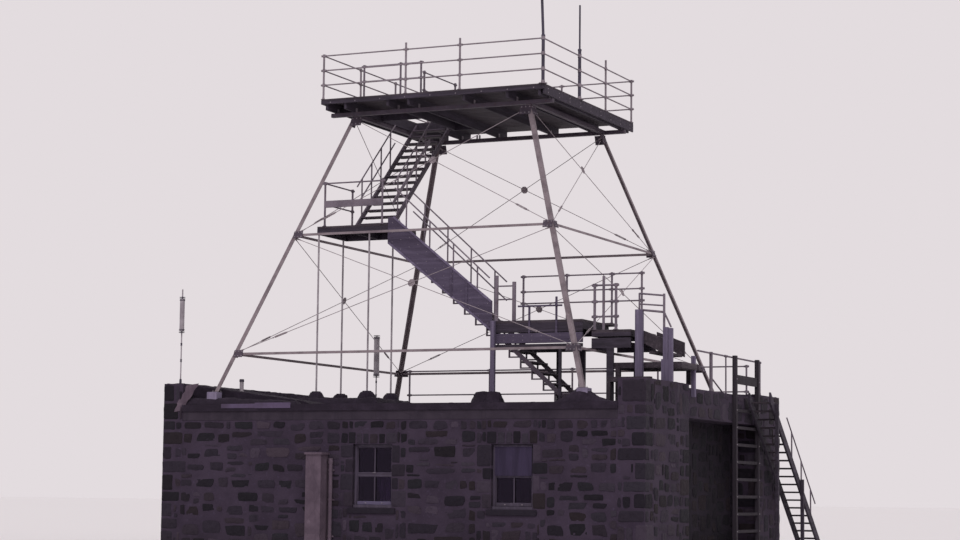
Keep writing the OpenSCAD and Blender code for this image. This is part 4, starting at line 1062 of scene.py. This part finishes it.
def deck_nails():
    """Two nails in each board over each joist of the platform and the landings."""
    nails, pitch = Batch(), 2 * DECK_HALF / DECK_BOARDS
    spots = []
    for i in range(DECK_BOARDS):
        y = -DECK_HALF + (i + 0.5) * pitch - 0.004
        for x in JOISTS:
            if not (-2.2 < x < -1.15 and -1.12 < y < 0.95):
                spots += [(x, y - 0.05, DECK), (x + 0.012, y + 0.05, DECK)]
    for start, span, beams, z, apart in (
            (-3.05, 1.45, (-2.75, -1.87, -0.95), UPPER, 0.04),
            (-3.112, 1.612, (1.79, 2.03, 2.73, 3.38, 3.89), LOWER, 0.05),
            (-3.112, 1.612, (4.17, 4.63, 5.02), LOWER_RIGHT, 0.05)):
        for i in range(LANDING_BOARDS):
            y = start + (i + 0.5) * span / LANDING_BOARDS
            spots += [(x, y + shift, z) for x in beams for shift in (-apart, apart)]
    for spot in spots:
        turn(nails, spot, UP, NAIL, 6)
    nails.build("deck_nails", "galvanised_metal", "rod_steel")


def frame_bolts(bolts):
    """Bolts of the platform's edge boards, joist cleats and the wall ladder's rungs."""
    edge = DECK - 0.085
    for t in (-2.6 + k * 0.65 for k in range(9)):
        for at, way in (((t, -DECK_HALF, edge), SOUTH), ((-DECK_HALF, t, edge), WEST),
                        ((DECK_HALF, t, edge), EAST), ((DECK_HALF, t, edge - 0.09), EAST)):
            bolt(bolts, at, way, 0.011)
    seat = FEET + TOP_Z + 0.09
    for x in JOISTS:
        for y in (-TOP_HALF, TOP_HALF):
            if x == -1.6 and y < 0:
                continue
            for side in (-1, 1):
                chamfered(bolts, (x + side * 0.036, y, seat + 0.05), NORTH, UP, (0.045, 0.05, 0.004), 0.002)
                bolt(bolts, (x + side * 0.04, y, seat + 0.06), (side, 0, 0), 0.01)
    for z in [0.5 + 0.4 * k for k in range(8)] + [FEET + 0.42]:
        for y in (1.1, 2.8):
            bolt(bolts, (RIGHT + 0.1, y, z + 0.035), EAST, 0.011, 0.008)


def tread_fittings(bolts, strips):
    """A nosing on each tread's front edge and the bolts at its ends, on the three flights."""
    def nosing(a, b, z):
        strip(strips, (*a, z - 0.014), (*b, z - 0.014), UP, 0.03, 0.02, 0.008)

    rise = (DECK - UPPER) / UPPER_RISES
    for i in range(1, UPPER_RISES):
        y, z = UPPER_FOOT_Y + (i - 0.35) * UPPER_GOING, UPPER + i * rise - 0.06
        nosing((-2.135, y + 0.004), (-1.245, y + 0.004), z)
        for x, side in ((-2.19, -1), (-1.19, 1)):
            bolt(bolts, (x, y + 0.1, z - 0.02), (side, 0, 0), 0.01)
    rise = (UPPER - ROOF_TOP) / LOWER_RISES
    going = rise / LOWER_SLOPE
    for i in range(1, LOWER_RISES):
        x, z = LOWER_HEAD_X + (i - 1) * going, UPPER - i * rise
        nosing((x + going - 0.006, -3.005), (x + going - 0.006, -2.095), z)
        bolt(bolts, (x + going * 0.5, -2.05, z - 0.02), NORTH, 0.01)
    rise, run, x0, x1 = END_TOP / OUTER_RISES, END_TOP / OUTER_SLOPE, RIGHT + 0.11, RIGHT + 0.67
    going = run / OUTER_RISES
    for i in range(1, OUTER_RISES):
        y, z = OUTER_HEAD_Y + run - (i + 0.45) * going, i * rise - 0.03
        nosing((x0 + 0.052, y + going + 0.016), (x1 - 0.052, y + going + 0.016), z)
        for x, side in ((x0, -1), (x1, 1)):
            bolt(bolts, (x, y + going * 0.5, z - 0.02), (side, 0, 0), 0.009)


def side_board_fittings():
    """Cover strips along the lower flight's side board, and screws in it and in the landing's edge."""
    covers, heads = Batch(), Batch()
    x, y, slope, reach = LOWER_HEAD_X, -3.08, 0.795, 2.63
    for ends in (((0.14, 0.14), (reach, 0.205 - reach * slope)),
                 ((0.02, -0.43 - 0.02 * slope), (reach, -0.43 - reach * slope))):
        a, b = ((x + u, y - 0.006, UPPER + v) for u, v in ends)
        strip(covers, a, b, UP, 0.05, 0.016, 0.005)
    spots = [(x + u, y, UPPER + v - u * slope)
             for u in (0.12 + k * 0.22 for k in range(12)) for v in (0.1, -0.12, -0.34)]
    spots += [(1.83 + k * 0.225, -3.137, FEET + z) for k in range(10) for z in (1.13, 1.23)]
    for spot in spots:
        turn(heads, spot, SOUTH, SCREW, 8)
    covers.build("side_board_covers", "side_board_cover_paint", "light_timber")
    heads.build("side_board_screws", "galvanised_metal", "rod_steel")


def timber_fittings():
    deck_nails()
    bolts, strips = Batch(), Batch()
    frame_bolts(bolts)
    tread_fittings(bolts, strips)
    bolts.build("timber_bolts", "galvanised_metal", "rod_steel")
    strips.build("tread_nosings", "dark_steel", "tower_steel")
    side_board_fittings()


# Roof and wall fittings

PEBBLES, LAP_ROWS = 1500, 11
AERIAL_FOOT = ((0.09, 0), (0.09, 0.01), (0.03, 0.014), (0.026, 0.12), (0.015, 0.124))
BALL = [Vector(v).normalized() for v in (
    UP, (0.9, 0, 0.4), (0.28, 0.85, 0.4), (-0.72, 0.53, 0.4), (-0.72, -0.53, 0.4), (0.28, -0.85, 0.4),
    (0.72, 0.53, -0.4), (-0.28, 0.85, -0.4), (-0.9, 0, -0.4), (-0.28, -0.85, -0.4), (0.72, -0.53, -0.4),
    (0, 0, -1))]
BALL_FACES = [face for k, n in zip(range(5), (1, 2, 3, 4, 0)) for face in (
    (0, 1 + k, 1 + n), (1 + k, 6 + k, 1 + n), (6 + k, 6 + n, 1 + n), (11, 6 + n, 6 + k))]


def roof_surface():
    """Laps of the covering in rows, and gravel that has gathered towards the end walls and the back."""
    laps, pebbles, rng = Batch(), Batch(), random.Random(31)
    for k in range(1, LAP_ROWS):
        x = LEFT_IN + (RIGHT_IN - LEFT_IN) * k / LAP_ROWS
        y, far = FRONT + 0.02, BACK - 0.02
        while y < far - 0.4:
            step = min(rng.uniform(0.9, 1.6), far - y)
            a, b = ((x + rng.uniform(-0.006, 0.006), v, ROOF_TOP + 0.003) for v in (y, y + step - 0.004))
            strip(laps, a, b, EAST, 0.07, 0.007, 0.003)
            y += step
    laps.build("roof_laps", "roof_covering")
    for _ in range(PEBBLES):
        zone = rng.random()
        if zone < 0.7:
            inward = rng.random() ** 2 * 1.4
            x = LEFT_IN + inward if zone < 0.35 else RIGHT_IN - inward
            y = rng.uniform(FRONT + 0.06, BACK - 0.06)
        else:
            x = rng.uniform(LEFT_IN, RIGHT_IN)
            y = BACK - 0.06 - rng.random() ** 2 * 1.5
        if x < LEFT_IN + 3.2 and FRONT + 0.4 < y < FRONT + 1.75:
            continue
        r = rng.uniform(0.007, 0.022)
        size = Vector((r * rng.uniform(0.7, 1.3), r * rng.uniform(0.7, 1.3), r * rng.uniform(0.5, 0.8)))
        middle = Vector((x, y, ROOF_TOP + size.z * 0.6))
        ball = [tuple(middle + Vector(a * b * rng.uniform(0.8, 1.15) for a, b in zip(v, size)))
                for v in BALL]
        pebbles.add(ball, BALL_FACES, tone=rng.random(), hue=rng.random())
    pebbles.build("roof_gravel", "split_stone", "rubble_stone")


def roof_fittings():
    """A metal flashing on the roof edge, the vent's jacket, pipe clips, collars and aerial clamps."""
    metal, jacket, pipe, dark = Batch(), Batch(), Batch(), Batch()
    slab(metal, (-3.76, FRONT - 0.039, ROOF_TOP - 0.034), (0.46, 0.003, 0.048), 0.001)
    slab(metal, (-2.88, FRONT - 0.042, ROOF_TOP - 0.026), (0.46, 0.003, 0.062), 0.001)
    chamfered(metal, (-3.32, FRONT + 0.05, ROOF_TOP + 0.004), EAST, NORTH, (0.9, 0.08, 0.003), 0.001)
    metal.build("edge_flashing", "flashing_metal", "roof_covering")
    turn(jacket, (*VENT, ROOF_TOP + 0.02), UP, (
        (0.05, 0), (0.0465, 0.1), (0.0455, 0.3), (0.0455, 0.55), (0.03, 0.555)), 24)
    jacket.build("vent_jacket", "vent_paint", "grey_steel")

    x, y = -1.36, FRONT - 0.06
    for level in (0.35, 1.15, 1.8):
        turn(pipe, (x, y, level), UP, ((0.045, 0), (0.052, 0.003), (0.052, 0.037), (0.045, 0.04)), 24)
        for side in (-1, 1):
            slab(pipe, (x + side * 0.062, FRONT - 0.02, level + 0.02), (0.012, 0.022, 0.018), 0.003)
            bolt(pipe, (x + side * 0.07, FRONT - 0.042, level + 0.02), SOUTH, 0.007)
    turn(pipe, (x, y, 1.96), UP, (
        (0.046, 0), (0.054, 0.005), (0.054, 0.07), (0.05, 0.085), (0.05, 0.122), (0.04, 0.124),
        (0.04, 0.06)), 24)
    pipe.build("drain_pipe_clips", "flue_render")

    turn(dark, (*VENT, ROOF_TOP), UP, (
        (0.13, 0), (0.13, 0.006), (0.075, 0.03), (0.056, 0.1), (0.05, 0.14), (0.047, 0.142)), 24)
    turn(dark, (*VENT, ROOF_TOP + 0.56), UP, (
        (0.0475, 0), (0.056, 0.004), (0.056, 0.03), (0.052, 0.06), (0.044, 0.064), (0.04, 0.02)), 24)
    for x, y, foot, h, r, thick in (
            (-5.5, -4.5, END_TOP, 2.2, 0.067, (0.56, 0.9)), (-3.52, 1.5, ROOF_TOP, 1.98, 0.082, (0.5, 0.99))):
        turn(dark, (x, y, foot), UP, AERIAL_FOOT, 16)
        for z in (foot + h * part + shift for part in thick for shift in (-0.035, 0, 0.035)):
            turn(dark, (x, y, z), UP, ((0.016, -0.012), (r, -0.006), (r, 0.006), (0.016, 0.012)), 16)
        for part in (0.25, 0.42):
            sleeve(dark, (x, y, foot + h * part), UP, 0.02, 0.06)
    for y, h in ((0.04 - DECK_HALF, 1.07), (SIDE_MAST_Y, 1.15)):
        turn(dark, (DECK_HALF - 0.04, y, DECK + h), UP, (
            (0.038, 0), (0.046, 0.004), (0.046, 0.04), (0.038, 0.05), (0.03, 0.056)), 20)
    dark.build("roof_collars", "mast_steel", "grey_steel")


# Heaps and banks of roof covering

WEDGE = 3.15
BANKS = (
    ((-3.2, -0.98), (-3.4, -1.4), lambda x: 0.2, 0.16, 3),
    ((LEFT_IN, -2.3), (FRONT + 0.015, FRONT + 0.3), lambda x: 0.16 - 0.05 * max(0, x + 4.2), 0.09, 8),
    ((0.8, 1.75), (-3.42, -2.98), lambda x: 0.1 + 0.06 * math.sin(4.2 * x), 0.13, 17),
    ((3.95, RIGHT_IN + 0.05), (FRONT + 0.015, FRONT + 0.34),
     lambda x: 0.03 + 0.27 * math.exp(-((x - 4.52) / 0.34) ** 2), 0.1, 15),
    ((LEFT_IN - 0.12, LEFT_IN + WEDGE + 0.05), (FRONT + 0.42, FRONT + 1.74),
     lambda x: 0.03 + max(0.0, (END_TOP - 0.03 - ROOF_TOP) * (1 - (x - LEFT_IN) / WEDGE) ** 0.95), 0.1, 11),
)


def bank(batch, x, y, height, edge, seed):
    """A low uneven bank of roof covering over a rectangle; height is a function of x."""
    nx, ny = (max(4, round((v[1] - v[0]) / 0.045)) + 1 for v in (x, y))
    u, v = np.meshgrid(np.linspace(*x, nx), np.linspace(*y, ny), indexing="ij")
    inset = np.minimum(np.minimum(u - x[0], x[1] - u), np.minimum(v - y[0], y[1] - v))
    points = np.stack([u, v, np.zeros_like(u)], axis=-1).reshape(-1, 3)
    rise = np.sin(np.clip(inset / edge, 0, 1).reshape(-1) * math.pi / 2) ** 0.8
    rough = smooth_noise(points, 5.0, seed) * 0.022 + smooth_noise(points, 17.0, seed + 3) * 0.01
    tall = np.array([height(p[0]) for p in points])
    points[:, 2] = ROOF_TOP - 0.012 + (tall + rough + 0.012) * rise
    wander = smooth_noise(points, 4.0, seed + 6) * 0.03 * (1 - rise)
    points[:, 0] += np.where(points[:, 0] > x[0] + 0.1, wander, 0)
    batch.add([tuple(p) for p in points], grid_faces(nx, ny))


def heap(batch, x, y, z, grow, seed):
    """An uneven cone of roof covering round a post's foot."""
    rings, sides, points = 14, 30, []
    for i in range(rings):
        t = i / (rings - 1)
        radius = grow * (0.115 + 0.14 * (1 - t) ** 0.8) if i < rings - 1 else 0.026
        for a in (2 * math.pi * j / sides for j in range(sides)):
            points.append((x + radius * math.cos(a), y + radius * math.sin(a), z + 0.285 * grow * t ** 0.9))
    points = np.array(points)
    away = (points - np.array([x, y, 0])) * np.array([1, 1, 0])
    away /= np.linalg.norm(away, axis=1, keepdims=True)
    swell = smooth_noise(points, 7.0, seed + 2) * 0.03 + smooth_noise(points, 21.0, seed + 9) * 0.012
    points[:-sides] += (away * (np.maximum(swell, -0.01)[:, None] + 0.004))[:-sides]
    faces = [(i + j, i + n, i + sides + n, i + sides + j) for i in range(0, (rings - 1) * sides, sides)
             for j, n in zip(range(sides), [*range(1, sides), 0])]
    batch.add([tuple(p) for p in points], faces)


def mounds():
    """Roof covering banked round the footings and heaped over them."""
    banks, heaps = Batch(), Batch()
    for row in BANKS:
        bank(banks, *row)
    banks.build("covering_banks", "roof_covering", smooth=True)
    spots = [(x, y, ROOF_TOP + 0.08, 1.0) for x in (-2.755, -1.43) for y in (-3.0, -1.8)]
    spots += [(1.81, -3.187, ROOF_TOP - 0.02, 1.2), (1.6, -3.2, ROOF_TOP - 0.02, 1.2)]
    for k, spot in enumerate(spots):
        heap(heaps, *spot, k)
    heaps.build("footing_heaps", "roof_covering", smooth=True)


def mortar_fillet():
    """A smear of mortar that slants down the front left corner, from the end wall to the roof's edge."""
    fillet, rows, columns = Batch(), 30, 6
    edge = np.tile(np.linspace(-1, 1, columns), rows)
    t = np.repeat(np.linspace(0, 1, rows), columns)
    points = np.stack([-5.0 - 0.42 * t + 0.15 * edge, 0 * t, 3.76 - 0.62 * t + 0.02 * edge], axis=-1)
    points[:, 0] += edge * smooth_noise(points, 9.0, 4) * 0.03
    points[:, 1] = FRONT - 0.026 * (1 - edge ** 2) + 0.004 - 0.006 * smooth_noise(points, 16.0, 5)
    fillet.add([tuple(v) for v in points], grid_faces(rows, columns))
    fillet.build("mortar_fillet", "flue_render", "rubble_stone", smooth=True)


# Stage, light and camera

def studio():
    """A wide pale floor and an even pale sky, with a soft sun from the front."""
    mesh = bpy.data.meshes.new("floor")
    half = 400.0
    corners = [(-half, -half, 0), (half, -half, 0), (half, half, 0), (-half, half, 0)]
    mesh.from_pydata(corners, [], [(0, 1, 2, 3)])
    floor = bpy.data.objects.new("floor", mesh)
    floor.location.z = cad_box[0][2] - 0.002
    bpy.context.scene.collection.objects.link(floor)
    pale = bpy.data.materials.new("studio_floor")
    pale.use_nodes = True
    shader = pale.node_tree.nodes["Principled BSDF"]
    shader.inputs["Base Color"].default_value = rgb("#d9d3d6")
    shader.inputs["Roughness"].default_value = 0.9
    mesh.materials.append(pale)

    world = bpy.data.worlds.new("studio")
    world.use_nodes = True
    bpy.context.scene.world = world
    nodes, links = world.node_tree.nodes, world.node_tree.links
    light, seen = nodes["Background"], nodes.new("ShaderNodeBackground")
    mix = nodes.new("ShaderNodeMixShader")
    light.inputs["Color"].default_value = (1.0, 0.985, 0.99, 1)
    light.inputs["Strength"].default_value = 0.87
    seen.inputs["Color"].default_value = rgb("#e3dcdf")
    seen.inputs["Strength"].default_value = 1.0
    path = nodes.new("ShaderNodeLightPath")
    shown = path.outputs["Is Camera Ray"]
    for kind in ("Is Glossy Ray", "Is Transmission Ray"):
        larger = nodes.new("ShaderNodeMath")
        larger.operation = "MAXIMUM"
        links.new(shown, larger.inputs[0])
        links.new(path.outputs[kind], larger.inputs[1])
        shown = larger.outputs[0]
    links.new(shown, mix.inputs[0])
    links.new(light.outputs[0], mix.inputs[1])
    links.new(seen.outputs[0], mix.inputs[2])
    links.new(mix.outputs[0], nodes["World Output"].inputs["Surface"])

    sun = bpy.data.lights.new("key", "SUN")
    sun.energy = 0.85
    sun.angle = math.radians(20)
    sun.color = (1.0, 0.98, 0.95)
    lamp = bpy.data.objects.new("key", sun)
    lamp.rotation_euler = Vector((0.3, -0.66, 0.69)).to_track_quat("Z", "Y").to_euler()
    bpy.context.scene.collection.objects.link(lamp)


def camera():
    """The photograph's view, from a fit of the square tower: low, in front and to the right."""
    heading, pitch, roll = (math.radians(a) for a in (24.645, 5.882, 0.618))
    level = math.cos(pitch)
    forward = Vector((-math.sin(heading) * level, math.cos(heading) * level, math.sin(pitch)))
    right = forward.cross(Vector(UP)).normalized()
    up = right.cross(forward)
    side = math.cos(roll) * right + math.sin(roll) * up
    top = -math.sin(roll) * right + math.cos(roll) * up
    data = bpy.data.cameras.new("view")
    data.sensor_width = 36.0
    data.lens = 82.56
    data.clip_end = 1500
    obj = bpy.data.objects.new("view", data)
    obj.matrix_world = Matrix((
        (side.x, top.x, -forward.x, 21.952), (side.y, top.y, -forward.y, -47.824),
        (side.z, top.z, -forward.z, 1.271), (0, 0, 0, 1)))
    bpy.context.scene.collection.objects.link(obj)
    bpy.context.scene.camera = obj


for step in (build_stonework, window_joinery, window_cloths, doorway_lining, tower_fittings, railings,
             timber_fittings, roof_surface, roof_fittings, mounds, mortar_fillet, studio, camera):
    step()
bpy.context.scene.view_settings.view_transform = "Standard"
